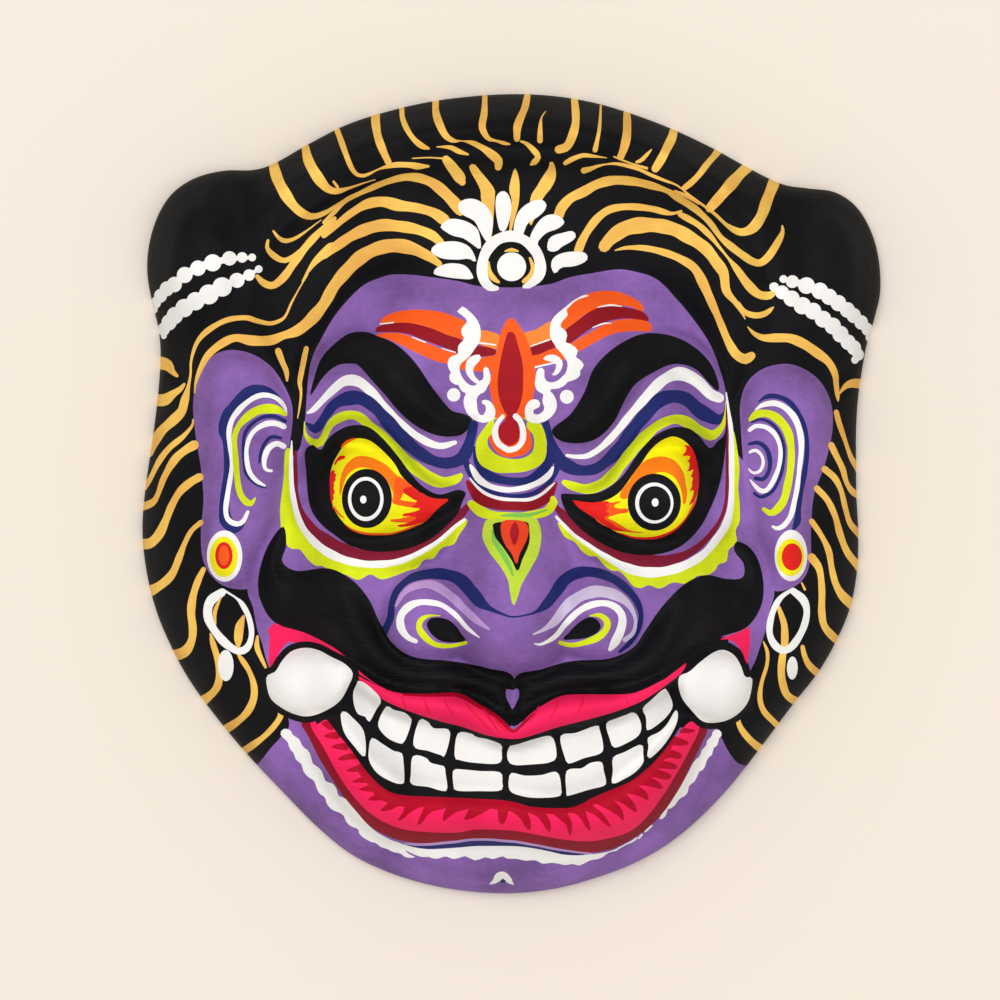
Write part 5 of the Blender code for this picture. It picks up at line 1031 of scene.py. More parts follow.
# The painted eyes, as (colour, outline) and (colour, stroke)
EYE_AREAS = [
    ("yellow", LEFT_EYEBALL),
    ("amber", [(-63.4, -0.6), (-63.9, 1), (-63.8, 4), (-63.3, 7), (-62.4, 9.5), (-61.2, 11.4),
               (-59.5, 13), (-57.5, 14.1), (-55, 14.3), (-52, 13.7), (-49, 12.4), (-46.2, 10.8),
               (-44.5, 9), (-42.6, 7.2), (-41, 5.6), (-39.4, 3.2), (-39.4, 0.4), (-41.4, -3),
               (-44.4, -2.6), (-43.9, 0), (-44.6, 2), (-45.8, 4.4), (-47.5, 6.6), (-49.5, 8.2),
               (-52, 9.4), (-54.6, 10), (-57, 9.9), (-59, 8.9), (-60.9, 7.2), (-62, 4.8), (-62.8, 2)]),
    ("orange", [(-43.4, -2), (-43.6, 2.6), (-43, 6.2), (-41.2, 6.6), (-40.2, 5.8), (-38, 4),
                (-36, 2.2), (-34, -1), (-33, -5), (-36, -5.1), (-40, -4.4), (-44.2, -3.4),
                (-44.2, -2.3)]),
    ("orange", [(-45, -9.3), (-42, -9.1), (-38.6, -8.3), (-34.5, -7.8), (-33.5, -10.6), (-36.6, -10.6),
                (-41, -10.5), (-45, -10.1)]),
    ("orange", [(-62.4, -10.6), (-60, -12.2), (-57, -13.5), (-53, -14.2), (-48, -14.4), (-44, -14.1),
                (-40, -12.9), (-36.6, -11.6), (-33.4, -10.8), (-31.8, -10.1), (-35, -11.6),
                (-38, -12.9), (-42, -14.2), (-45, -15), (-49, -15.2), (-53, -15.1), (-56.5, -14.5),
                (-59, -13.5), (-61, -12.1)]),
    ("red", [(-40.4, 1.8), (-38.6, 2.6), (-36.6, 2.8), (-34, 0.8), (-32, -0.2), (-30, -1.2),
             (-27.5, -1.6), (-23.2, -1.8), (-26, -4.1), (-28, -5.9), (-30, -8.1), (-32, -10),
             (-33.8, -10.8), (-36.5, -11.5), (-39, -12), (-42.2, -12.1), (-42.5, -11.3), (-39.5, -10.9),
             (-36.4, -9.6), (-35.2, -8.6), (-37.6, -8.1), (-40.6, -8.1), (-40.3, -7.2), (-37, -6.6),
             (-34, -5.6), (-34.2, -4.9), (-37.5, -4.6), (-35, -3.4), (-37, -2.8), (-34.8, -2.5),
             (-36.6, -1.6), (-38.4, -0.4), (-39.8, 0.4)]),
    ("yellow", [(-40.1, 0.5), (-38.4, -0.6), (-36.6, -1.8), (-34.7, -2.7), (-36, -2.9), (-38.5, -2.5),
                (-41.2, -2.2), (-40.8, -1)]),
    ("red", [(-66.1, 11.1), (-65.2, 12.9), (-63.9, 14.3), (-62.7, 14.6), (-61.4, 14.2), (-62.4, 13.7),
             (-62.2, 13.2), (-63.4, 12.9), (-64.6, 12.3), (-65.6, 10.6)]),
    ("red", [(-66.9, 9), (-65.2, 8.7), (-66, 7.6), (-64.7, 7.1), (-65.6, 6.2), (-65, 5.6), (-66.1, 4.8),
             (-65.5, 4), (-66.3, 2.6), (-65.5, 1.2), (-66.3, 0.2), (-65.8, -1.1), (-66.6, -2.4),
             (-66.2, -4.4), (-66.9, -3.4), (-67.3, -1), (-67.5, 2), (-67.6, 5), (-67.4, 8)]),
    ("yellow", RIGHT_EYEBALL),
    ("amber", [(40.2, -1.2), (40.3, 0.6), (41.6, 2.6), (43.6, 5.2), (45.8, 8.6), (48, 11.4),
               (49.4, 12.4), (51, 13.2), (53.6, 13.9), (56, 14.1), (58.4, 13.6), (60.4, 12.6),
               (62, 11), (63.6, 8.6), (64.2, 6.6), (64.6, 4), (65.1, 1.6), (65.1, -0.6), (64.8, -2.4),
               (64.2, -4), (63.5, -3.4), (63.4, -2), (63.2, 0), (62.6, 2.4), (61.4, 5), (59.6, 7),
               (57.2, 8.1), (54.6, 8.2), (51.8, 7.2), (49, 5.8), (46.8, 4), (44.8, 1.6),
               (43.6, -0.6), (42.4, -1.8), (41, -1.7)]),
    ("orange", [(33, -2.8), (36.5, -3.1), (40.8, -2.4), (38.6, -3.7), (37.6, -4.4), (38.8, -5),
                (40.6, -5.3), (43.2, -5.2), (43.2, -6.7), (40, -7.2), (37, -8.1), (35.5, -8.7),
                (38, -9.9), (41, -11.7), (44, -13.4), (47, -13.9), (49.6, -14.3), (46, -14.3),
                (42, -13.8), (39.6, -13.6), (36.6, -12.6), (31, -9)]),
    ("red", [(22.7, -2.2), (23.6, -3.6), (25.4, -5.4), (28, -7.1), (31, -9), (34, -10.9), (37, -12.9),
             (39, -13.6), (42.4, -13.6), (39, -12.2), (37, -10.6), (34.4, -9.2), (34.6, -8.2),
             (36.6, -7.4), (34.8, -6.2), (36.4, -4.8), (34.6, -3.9), (36.6, -3.2), (35.2, -2.4),
             (33, -2.7), (30, -3), (27, -2.8), (24.6, -2.4)]),
    ("red", [(38.8, -14), (41.6, -14.6), (44.4, -15.5), (48, -15.9), (52, -15.8), (55.6, -15),
             (59, -13.6), (62, -11.5), (64.6, -8.6), (66.6, -5.2), (67.4, -4.4), (65.6, -8),
             (63.2, -11.2), (60.4, -13.7), (57.4, -15.4), (54.6, -16.4), (52, -16.8), (49, -16.8),
             (45.5, -16.4), (42.5, -15.5), (39.5, -14.3)]),
    ("red", [(64.1, 18.3), (65.1, 17), (64.5, 15.6), (63.2, 14.2), (65, 14.5), (66.7, 14),
             (65.9, 12.9), (64.9, 12.1), (66.1, 12), (66.1, 10.6), (65.7, 9.4), (64.9, 8.5),
             (66.5, 8.8), (67.5, 9.4), (67, 7.6), (66.3, 6.1), (67.5, 6.6), (66.7, 3.6), (67.4, 4),
             (66, 0.9), (67.6, 2), (67.5, 0.2), (67, -1.4), (65.7, -4.1), (67, -3.4), (68.5, -1.4),
             (69.5, 2.5), (69.7, 6), (69.5, 9.4), (68.9, 12.4), (67.9, 15.6), (66.3, 18)]),
]
EYE_STROKES = [
    ("orange", [(-63.2, 17.6, 0.6), (-61.4, 19.4, 1.1), (-58.4, 20.7, 0.6)]),
    ("orange", [(-66.2, -4.6, 0.7), (-65.4, -5.6, 0.8), (-64, -7.4, 0.8), (-62.3, -8.7, 0.4)]),
    ("orange", [(68.2, -2.4, 0.9), (67.4, -4.2, 0.9), (66, -6.6, 0.7)]),
]
# Pupils: centre x and y, half width and half height, then the same for the ring and the dot
PUPILS = [
    ("black", -53.7, -1.5, 9.3, 11), ("white", -54.1, -1.7, 6.6, 8.2), ("black", -54.1, -1.6, 5.4, 6.8),
    ("white", -55, -1.9, 1.2, 1.5),
    ("black", 52.9, -2.9, 9.9, 10.6), ("white", 52.9, -3.2, 7.1, 7.6), ("black", 53.1, -3.3, 5.9, 6.4),
    ("white", 53.2, -3, 1.3, 1.6),
]
STUDS = [
    ("white", -107, -23, 6.7, 9.6), ("yellow", -107.3, -23.3, 5.3, 7.6), ("red", -107.2, -22.8, 3.3, 5.1),
    ("orange", -107.2, -22.8, 2.1, 3.8), ("white", -106.8, -64, 3, 5.9),
    ("white", 104.2, -22.8, 6.2, 9.6), ("yellow", 104, -23.5, 5.2, 7), ("red", 104.5, -23.3, 3.9, 5.1),
    ("white", 105, -65, 2.1, 4.4),
]
FLOWER_GLINTS = [
    [(-8.6, 86.5, 0.8), (-8.2, 83, 1.6), (-6.8, 80.5, 2), (-4.8, 79, 1)],
    [(6.8, 88, 0.8), (8, 84.5, 1.6), (7.2, 81.3, 2.4), (4.6, 79.3, 1.6)],
    [(-2.4, 90.6, 0.6), (0, 91.2, 1.4), (2.4, 90.6, 0.6)],
]

# Colours of the paints as they look in even white light, in sRGB steps of 0 to 255
COLOURS = {
    "black": (22, 22, 24),
    "soot": (17, 17, 19),
    "violet": (134, 96, 167),
    "white": (243, 241, 238),
    "navy": (33, 41, 104),
    "lime": (212, 226, 28),
    "sprout": (188, 214, 60),
    "green": (125, 192, 80),
    "pink": (248, 34, 90),
    "rose": (222, 26, 64),
    "crimson": (176, 6, 38),
    "maroon": (140, 8, 34),
    "plum": (124, 24, 48),
    "wine": (140, 20, 32),
    "ruby": (166, 22, 32),
    "orange": (253, 92, 28),
    "vermilion": (228, 66, 32),
    "tangerine": (250, 134, 56),
    "gold": (254, 190, 90),
    "amber": (252, 123, 21),
    "yellow": (250, 234, 20),
    "red": (226, 34, 30),
    "lilac": (186, 150, 206),
    "pale_lilac": (206, 192, 220),
    "paper": (160, 136, 106),
}
# How far each paint's tone swings, its roughness and its shine; the rest are as the first
TONE_SWING = {
    "other": 0.07, "violet": 0.12, "black": 0.2, "soot": 0.35, "white": 0.02, "gold": 0.1, "paper": 0.12,
}
ROUGHNESS = {"other": 0.6, "black": 0.6, "soot": 0.55, "white": 0.7, "paper": 0.9}
SHINE = {"other": 0.08, "black": 0.04, "soot": 0.07, "white": 0.06, "paper": 0.1}

# How much darker the paints are than they look under the studio's light
PAINT_LIGHT = 0.9

# Marks of the bristles along each stroke, blotches of thicker paint and the lumps of the paper below
BRISTLE_STRETCH = {"other": (0.08, 1, 1), "violet": (0.35, 0.6, 1), "white": (0.3, 0.6, 1)}
BRISTLE_SCALE = {"other": 110, "soot": 60}
BRISTLE_DEPTH = {"other": 0.00005, "soot": 0.0007}
BLOTCH_SCALE = 38
BLOTCH_SHARE = 0.8
LUMP_SCALE = 180
LUMP_DEPTH = {"other": 0.0004, "paper": 0.0012}

# Detail and roughness of the noise in each of them, and the values that become the darkest and lightest tone
STREAK_NOISE = (3, 0.6)
BLOTCH_NOISE = (4, 0.55)
LUMP_NOISE = (3, 0.5)
TONE_RANGE = (0.36, 0.64)

# Layout of the baked picture: its width in texels, millimetres per texel and the middle of each side
BAKE_SIZE = 1024
BAKE_TEXEL = 0.43
BACK_TEXEL = 1.04
FRONT_SHEET = (0.368, 0.6)
BACK_SHEET = (0.866, 0.16)

# The studio: camera, floor and lights, in metres and watts
CAMERA_HEIGHT = 5.0
VIEW_PLANE = 0.015
VIEW_WIDTH = 0.375
VIEW_CENTRE = (-0.00431, -0.00236)
SENSOR_WIDTH = 36
FURTHEST_SEEN = 100
FLOOR = 4.0
FLOOR_COLOUR = (227, 217, 204)
FLOOR_ROUGHNESS = 0.9
FLOOR_SHINE = 0.1
WORLD_LIGHT = 0.6
LIGHTS = [
    ("key", (-0.55, 0.75, 3.0), 1.4, 44, (1, 0.985, 0.975)),
    ("fill", (0.7, -0.6, 2.9), 1.5, 24, (1, 0.985, 0.975)),
]


def spline(points, closed, step):
    """A smooth line through the points, with even steps of about the given length."""
    points = np.array(points, float)
    if closed:
        around = np.vstack([points[-1], points, points[0], points[1]])
    else:
        around = np.vstack([2 * points[0] - points[1], points, 2 * points[-1] - points[-2]])
    share = np.linspace(0, 1, PIECE_STEPS, endpoint=False)[:, None]
    pieces = []
    for a, b, c, d in zip(around[:-3], around[1:-2], around[2:-1], around[3:]):
        bend = 2 * a - 5 * b + 4 * c - d
        twist = 3 * b - a - 3 * c + d
        pieces.append(b + 0.5 * share * (c - a + share * (bend + share * twist)))
    pieces.append(points[:1] if closed else points[-1:])
    line = np.vstack(pieces)
    lengths = np.linalg.norm(np.diff(line[:, :2], axis=0), axis=1)
    travelled = np.concatenate([[0], np.cumsum(lengths)])
    count = max(2, round(travelled[-1] / step))
    stops = np.linspace(0, travelled[-1], count + 1)
    columns = []
    for values in line.T:
        columns.append(np.interp(stops, travelled, values))
    evened = np.column_stack(columns)
    return evened[:-1] if closed else evened


def nearest_on(line, spots):
    """Distance from each spot to each piece of a line, with the share along that piece."""
    start = line[:-1, :2]
    span = line[1:, :2] - start
    reach = spots[:, None, :] - start[None, :, :]
    share = (reach * span).sum(axis=2) / (span ** 2).sum(axis=1)
    share = np.clip(share, 0, 1)
    gap = np.linalg.norm(reach - share[:, :, None] * span, axis=2)
    return gap, share


def in_chunks(spots):
    return np.array_split(spots, max(1, len(spots) // CHUNK))


def edge_distance(ring, spots):
    """Distance from each spot to a closed ring of points."""
    line = np.vstack([ring, ring[:1]])
    found = []
    for chunk in in_chunks(spots):
        found.append(nearest_on(line, chunk)[0].min(axis=1))
    return np.concatenate(found)


def winding(ring, spots):
    """How many times a closed ring runs round each spot."""
    x, y = spots[:, 0], spots[:, 1]
    turns = np.zeros(len(spots), int)
    for (ax, ay), (bx, by) in zip(ring, np.roll(ring, -1, axis=0)):
        if ay == by:
            continue
        crosses = (ay > y) != (by > y)
        crosses &= x < ax + (y - ay) * (bx - ax) / (by - ay)
        turns[crosses] += 1 if by > ay else -1
    return turns


def inside(ring, spots):
    return winding(ring, spots) != 0


def smoothstep(low, high, values):
    share = np.clip((values - low) / (high - low), 0, 1)
    return share * share * (3 - 2 * share)


def within(low, high, spots):
    """Which spots lie in a box on the plan."""
    return np.flatnonzero(((spots >= low) & (spots <= high)).all(axis=1))


def dome_height(dome, spots):
    x, y, half_width, half_height, turn, rise, sharpness = dome
    angle = np.radians(turn)
    away_x = spots[:, 0] - x
    away_y = spots[:, 1] - y
    along = (away_x * np.cos(angle) + away_y * np.sin(angle)) / half_width
    across = (away_y * np.cos(angle) - away_x * np.sin(angle)) / half_height
    return rise / MM * np.clip(1 - along ** 2 - across ** 2, 0, 1) ** sharpness


def ridge_height(ridge, spots):
    rise, sharpness, middle = ridge
    line = spline(middle, False, FORM_STEP)
    reach = line[:, 2].max()
    height = np.zeros(len(spots))
    near = within(line[:, :2].min(axis=0) - reach, line[:, :2].max(axis=0) + reach, spots)
    gap, share = nearest_on(line, spots[near])
    half_width = line[:-1, 2] + share * np.diff(line[:, 2])
    crest = line[:-1, 3] + share * np.diff(line[:, 3])
    profile = crest * np.clip(1 - (gap / half_width) ** 2, 0, 1) ** sharpness
    height[near] = rise / MM * profile.max(axis=1)
    return height


def pad_height(pad, spots):
    rise, shoulder, outline = pad
    ring = spline(outline, True, FORM_STEP)
    height = np.zeros(len(spots))
    near = within(ring.min(axis=0), ring.max(axis=0), spots)
    near = near[inside(ring, spots[near])]
    share = np.clip(edge_distance(ring, spots[near]) / shoulder, 0, 1)
    height[near] = rise / MM * (1 - (1 - share) ** 2)
    return height


def relief(places, stretch):
    """Height of all the moulded forms over the plain dome, in millimetres, before they fade at the rim."""
    spots = places / stretch
    raised = np.zeros(len(spots))
    for dome in DOMES:
        raised += dome_height(dome, spots) ** BLEND_POWER
    for ridge in RIDGES:
        raised += ridge_height(ridge, spots) ** BLEND_POWER
    for pad in PADS:
        raised += pad_height(pad, spots) ** BLEND_POWER
    height = raised ** (1 / BLEND_POWER)
    for hollow in HOLLOWS:
        height -= dome_height(hollow, spots)
    for groove in GROOVES:
        height -= ridge_height(groove, spots)
    for pad in SUNK_PADS:
        height -= pad_height(pad, spots)
    across = (np.abs((spots - FACE_MIDDLE) / FACE_HALF) ** FACE_SQUARENESS).sum(axis=1)
    fall = smoothstep(FACE_SHOULDER, 1.0, across ** (1 / FACE_SQUARENESS))
    return height + FACE_SWELL / MM * (1 - fall)


def shell_height(spots, depth, forms, span):
    """Height of the moulded surface at each spot, with depth its distance from the rim."""
    crown = np.clip(1 - ((2 * spots / span) ** 2).sum(axis=1), 0, 1)
    dome = SIDE_HEIGHT / MM + CROWN / MM * crown
    roll = np.sqrt(1 - (1 - np.clip(depth * MM / SIDE_ROLL, 0, 1)) ** 2)
    return dome * roll + forms * smoothstep(0, RIM_FADE, depth)


def hex_grid(ring, step):
    """Spots in staggered rows over the whole of a ring."""
    low = ring.min(axis=0)
    high = ring.max(axis=0)
    spots = []
    for row in range(int((high[1] - low[1]) / (step * ROW_SHARE)) + 1):
        shift = step / 2 * (row % 2)
        xs = np.arange(low[0] + shift, high[0], step)
        spots.append(np.column_stack([xs, np.full(len(xs), low[1] + row * step * ROW_SHARE)]))
    return np.vstack(spots)


def outward_normals(ring):
    """Directions out of an anticlockwise ring at each of its points."""
    along = np.roll(ring, -1, axis=0) - np.roll(ring, 1, axis=0)
    along /= np.linalg.norm(along, axis=1)[:, None]
    return np.column_stack([along[:, 1], -along[:, 0]])


def roll_depth(angle):
    return SIDE_ROLL / MM * (1 - np.cos(np.radians(angle)))


def roll_rows(ring):
    """Rows of points round the rolled side, inwards from the rim."""
    return [ring - outward_normals(ring) * roll_depth(angle) for angle in ROLL_ANGLES]


def with_widths(points):
    """A brush stroke's points with the widths that were left out filled in evenly."""
    marked = [i for i, point in enumerate(points) if len(point) == 3]
    widths = np.interp(range(len(points)), marked, [points[i][2] for i in marked])
    return np.column_stack([[point[:2] for point in points], widths])


def brush_stroke(colour, points):
    """One stroke with round ends, a little uneven in width as by hand."""
    line = spline(with_widths(points), False, STROKE_STEP)
    along = np.gradient(line[:, :2], axis=0)
    along /= np.linalg.norm(along, axis=1)[:, None]
    aside = np.column_stack([-along[:, 1], along[:, 0]])
    waver = np.ones(len(line))
    for (share, pace), start in zip(WAVER, line[0, :2]):
        waver += share * np.sin(np.arange(len(line)) * pace + start)
    line[:, 2] = np.clip(line[:, 2] * waver, THINNEST, None)
    half = line[:, 2:3] / 2
    rows = [line[:, :2] - aside * half]
    for turn in CAP_TURNS:
        out = along[-1] * np.cos(np.radians(turn)) + aside[-1] * np.sin(np.radians(turn))
        rows.append([line[-1, :2] + out * half[-1]])
    rows.append((line[:, :2] + aside * half)[::-1])
    for turn in reversed(CAP_TURNS):
        out = aside[0] * np.sin(np.radians(turn)) - along[0] * np.cos(np.radians(turn))
        rows.append([line[0, :2] + out * half[0]])
    return {"colour": colour, "ring": np.vstack(rows), "line": line}


def area(colour, points):
    """A shape filled with paint."""
    return {"colour": colour, "ring": spline(points, True, AREA_STEP), "line": None}


def oval(colour, x, y, half_width, half_height):
    count = max(OVAL_LEAST, round(half_width * OVAL_PER_MM))
    around = np.radians(np.linspace(0, 360, count, endpoint=False))
    ring = np.column_stack([x + half_width * np.cos(around), y + half_height * np.sin(around)])
    return {"colour": colour, "ring": ring, "line": None}


def areas(colour, outlines):
    return [area(colour, points) for points in outlines]


def strokes(colour, lines):
    return [brush_stroke(colour, points) for points in lines]


def bands(coloured_lines):
    return [brush_stroke(colour, points) for colour, points in coloured_lines]


def patches(coloured_outlines):
    return [area(colour, points) for colour, points in coloured_outlines]


def white_dots(dots):
    return [oval("white", x, y, radius, radius) for x, y, radius in dots]


def fang_ball(outline):
    """A white ball with a black line round it."""
    ball = area("white", outline)
    return [{"colour": "black", "ring": grown(ball["ring"], BALL_LINE), "line": None}, ball]


def hair_and_ears():
    layers = areas("violet", [SKIN, LEFT_EAR, RIGHT_EAR])
    layers += strokes("gold", HAIR_STROKES) + areas("gold", HAIR_TUFTS)
    layers += areas("white", PETALS) + areas("black", [FLOWER_BED])
    layers += strokes("gold", FLOWER_GLINTS) + strokes("white", [FLOWER_RING]) + white_dots([FLOWER_HEART])
    layers += strokes("white", BEAD_LINKS) + white_dots(LEFT_BEADS + RIGHT_BEADS)
    layers += areas("navy", [LEFT_EAR_SHADE]) + bands(EAR_BANDS) + [oval(*stud) for stud in STUDS]
    return layers + strokes("white", HOOPS) + strokes("gold", HOOP_GLINTS)


def brows_and_eyes():
    layers = patches(FOREHEAD_AREAS) + strokes("white", FOREHEAD_LINES)
    layers += areas("black", [LEFT_BROW, RIGHT_BROW]) + bands(LID_BANDS)
    layers += areas("lime", [LEFT_SCALLOPS, RIGHT_SCALLOPS]) + bands(UNDER_EYE_BANDS)
    layers += areas("black", [LEFT_EYE_HOLE, RIGHT_EYE_HOLE])
    return layers + patches(EYE_AREAS) + bands(EYE_STROKES) + [oval(*pupil) for pupil in PUPILS]


def bridge_and_nose():
    layers = bands(BRIDGE_BANDS) + areas("sprout", [BRIDGE_DIAMOND]) + strokes("green", [DIAMOND_SHADE])
    layers += patches([("black", BRIDGE_GEM_BED), ("vermilion", BRIDGE_GEM), ("ruby", BRIDGE_GEM_CORE)])
    layers += patches([("lime", BRIDGE_CUP_OUTER), ("violet", BRIDGE_CUP_INNER)])
    layers += patches([("orange", DROP_HALO), ("orange", DROP_BASE), ("ruby", DROP), ("ruby", DROP_BULB)])
    layers += strokes("white", [DROP_CUP]) + areas("white", FLOURISHES) + white_dots(FLOURISH_DOTS)
    return layers + bands(WING_BANDS) + areas("black", NOSTRILS)


def mouth_and_chin():
    layers = strokes("pink", CORNER_LINES)
    layers += areas("soot", [LEFT_MOUSTACHE, RIGHT_MOUSTACHE]) + areas("violet", [PHILTRUM])
    layers += strokes("soot", MOUSTACHE_HEMS) + areas("pink", MOUTH_CORNERS)
    layers += areas("maroon", [LOWER_LIP_OUTER]) + areas("pink", [LOWER_LIP])
    layers += strokes("crimson", [LIP_SHADE]) + areas("crimson", LIP_MARKS)
    layers += areas("black", [MOUTH]) + areas("pink", [UPPER_LIP]) + strokes("crimson", [UPPER_LIP_EDGE])
    layers += strokes("rose", UPPER_LIP_MARKS) + areas("white", TEETH)
    layers += fang_ball(LEFT_BALL) + fang_ball(RIGHT_BALL) + areas("pink", [LIP_TIP])
    layers += bands(CHIN_LINES) + areas("white", [*CHIN_ROPES, CHIN_BAND, CHIN_MARK])
    return layers + areas("navy", [CHIN_MARK_SHADE])


def painting():
    """Every painted shape on the front, from the first coat to the last touch."""
    return hair_and_ears() + brows_and_eyes() + bridge_and_nose() + mouth_and_chin()


def grown(ring, margin):
    """A ring moved outwards, whichever way round it runs."""
    return ring + outward_normals(ring) * margin * np.sign(signed_area(ring))


def signed_area(ring):
    ahead = np.roll(ring, -1, axis=0)
    return (ring[:, 0] * ahead[:, 1] - ring[:, 1] * ahead[:, 0]).sum() / 2


def keep_clear(candidates, fixed, gap):
    """The candidates that are at least the gap away from every fixed spot."""
    tree = KDTree(len(fixed))
    for index, spot in enumerate(fixed):
        tree.insert((spot[0], spot[1], 0), index)
    tree.balance()
    clear = [tree.find((spot[0], spot[1], 0))[2] > gap for spot in candidates]
    return candidates[clear]


def pulled_inside(ring, spots):
    """The spots, with those outside the ring or on its edge moved to just inside it."""
    line = np.vstack([ring, ring[:1]])
    gap, share = nearest_on(line, spots)
    piece = gap.argmin(axis=1)
    reach = share[np.arange(len(spots)), piece][:, None]
    on_edge = line[piece] * (1 - reach) + line[piece + 1] * reach
    along = line[piece + 1] - line[piece]
    along /= np.linalg.norm(along, axis=1)[:, None]
    inward = np.column_stack([-along[:, 1], along[:, 0]])
    moved = ~inside(ring, spots) | (gap.min(axis=1) < RIM_INSET)
    return np.where(moved[:, None], on_edge + inward * RIM_INSET, spots)


def filled_in(ring, gap):
    """A closed ring with spots added so that none are further apart than the gap."""
    ahead = np.roll(ring, -1, axis=0)
    count = np.ceil(np.linalg.norm(ahead - ring, axis=1) / gap).astype(int)
    rows = [ring]
    for part in range(1, count.max()):
        share = part / np.maximum(count, 1)[:, None]
        rows.append((ring * (1 - share) + ahead * share)[share[:, 0] < 1])
    return np.vstack(rows)


def triangulate(ring, chains, loose):
    """Plan triangles inside the ring, whose own points come first. The chains stay whole as edges."""
    count = len(ring)
    points = [Vector(p) for p in ring]
    edges = [(i, (i + 1) % count) for i in range(count)]
    for chain in chains:
        first = len(points)
        points += [Vector(p) for p in chain]
        edges += [(first + i, first + (i + 1) % len(chain)) for i in range(len(chain))]
    points += [Vector(p) for p in loose]
    found = delaunay_2d_cdt(points, edges, [], 1, 1e-5)
    spots = np.array([tuple(v) for v in found[0]])
    order = {}
    for new, originals in enumerate(found[3]):
        for old in originals:
            if old < count:
                order[old] = new
    border = [order[i] for i in range(count)]
    rest = sorted(set(range(len(spots))) - set(border))
    place = np.empty(len(spots), int)
    place[border + rest] = np.arange(len(spots))
    faces = place[np.array([tuple(face) for face in found[2]])]
    return spots[border + rest], faces


def form_grid(ring, step, border, stretch, shift):
    """The forms' heights on a square grid that goes past the ring, with its low corner and its size."""
    low = ring.min(axis=0) - border * step
    size = ((ring.max(axis=0) - low) / step).astype(int) + border + 1
    xs = low[0] + step * np.arange(size[0])
    ys = low[1] + step * np.arange(size[1])
    spots = np.array([(x, y) for x in xs for y in ys])
    return low, size, relief(spots - shift, stretch).reshape(size[0], size[1])


def blurred(grid):
    """A grid smoothed once along each way."""
    padded = np.pad(grid, 1, mode="edge")
    grid = (padded[:-2, 1:-1] + 2 * padded[1:-1, 1:-1] + padded[2:, 1:-1]) / 4
    padded = np.pad(grid, 1, mode="edge")
    return (padded[1:-1, :-2] + 2 * padded[1:-1, 1:-1] + padded[1:-1, 2:]) / 4


def front_forms(ring, stretch, shift):
    """The forms as layers of wet paper leave them: read from a fine grid, with their creases rounded."""
    low, size, grid = form_grid(ring, FRONT_GRID, 3, stretch, shift)
    grid = blurred(grid)

    def sample(spots):
        place = (spots - low) / FRONT_GRID
        cell = np.clip(np.round(place).astype(int), 1, size - 2)
        off = place - cell
        weights = [(0.5 - off) ** 2 / 2, 0.75 - off ** 2, (0.5 + off) ** 2 / 2]
        height = np.zeros(len(spots))
        for i in (0, 1, 2):
            for j in (0, 1, 2):
                near = grid[cell[:, 0] + i - 1, cell[:, 1] + j - 1]
                height += weights[i][:, 0] * weights[j][:, 1] * near
        return height

    return sample


def back_forms(ring, stretch, shift):
    """The forms as the hollow side follows them: kept below the front and smoothed, on a square grid."""
    low, size, grid = form_grid(ring, BACK_GRID, 2, stretch, shift)
    padded = np.pad(grid, 1, mode="edge")
    lowest = grid.copy()
    for step_x in (0, 1, 2):
        for step_y in (0, 1, 2):
            shifted = padded[step_x:step_x + size[0], step_y:step_y + size[1]]
            lowest = np.minimum(lowest, shifted)
    for blur in range(BACK_BLURS):
        lowest = blurred(lowest)

    def sample(spots):
        place = (spots - low) / BACK_GRID
        cell = np.clip(place.astype(int), 0, size - 2)
        share = place - cell
        i, j = cell[:, 0], cell[:, 1]
        near = lowest[i, j] * (1 - share[:, 1]) + lowest[i, j + 1] * share[:, 1]
        far = lowest[i + 1, j] * (1 - share[:, 1]) + lowest[i + 1, j + 1] * share[:, 1]
        return near * (1 - share[:, 0]) + far * share[:, 0]

    return sample


def back_surface(spots, ring, span, sample):
    """The hollow side: the smoothed front moved inwards by the wall along its own normal."""
    def height(places):
        return shell_height(places, edge_distance(ring, places), sample(places), span)

    nudge = 0.1
    depth = edge_distance(ring, spots)
    depth[:len(ring)] = 0
    base = shell_height(spots, depth, sample(spots), span)
    slope_x = (height(spots + [nudge, 0]) - height(spots - [nudge, 0])) / (2 * nudge)
    slope_y = (height(spots + [0, nudge]) - height(spots - [0, nudge])) / (2 * nudge)
    normals = np.column_stack([-slope_x, -slope_y, np.ones(len(spots))])
    normals /= np.linalg.norm(normals, axis=1)[:, None]
    normals[:len(ring)] = np.column_stack([outward_normals(ring), np.zeros(len(ring))])
    points = np.column_stack([spots, base]) - normals * (WALL / MM)
    points[:len(ring), 2] = 0
    return points


def coats(layers, spots):
    """For each spot, the number of the last painted shape that covers it, or -1 for bare ground."""
    owner = np.full(len(spots), -1)
    for number, layer in enumerate(layers):
        ring = layer["ring"]
        near = within(ring.min(axis=0), ring.max(axis=0), spots)
        turns = winding(ring, spots[near])
        covered = turns != 0
        if layer["line"] is not None:
            gap, share = nearest_on(layer["line"], spots[near])
            half = layer["line"][:-1, 2] + share * np.diff(layer["line"][:, 2])
            covered |= (gap < STROKE_COVER * half).any(axis=1)
        owner[near[covered]] = number
    return owner


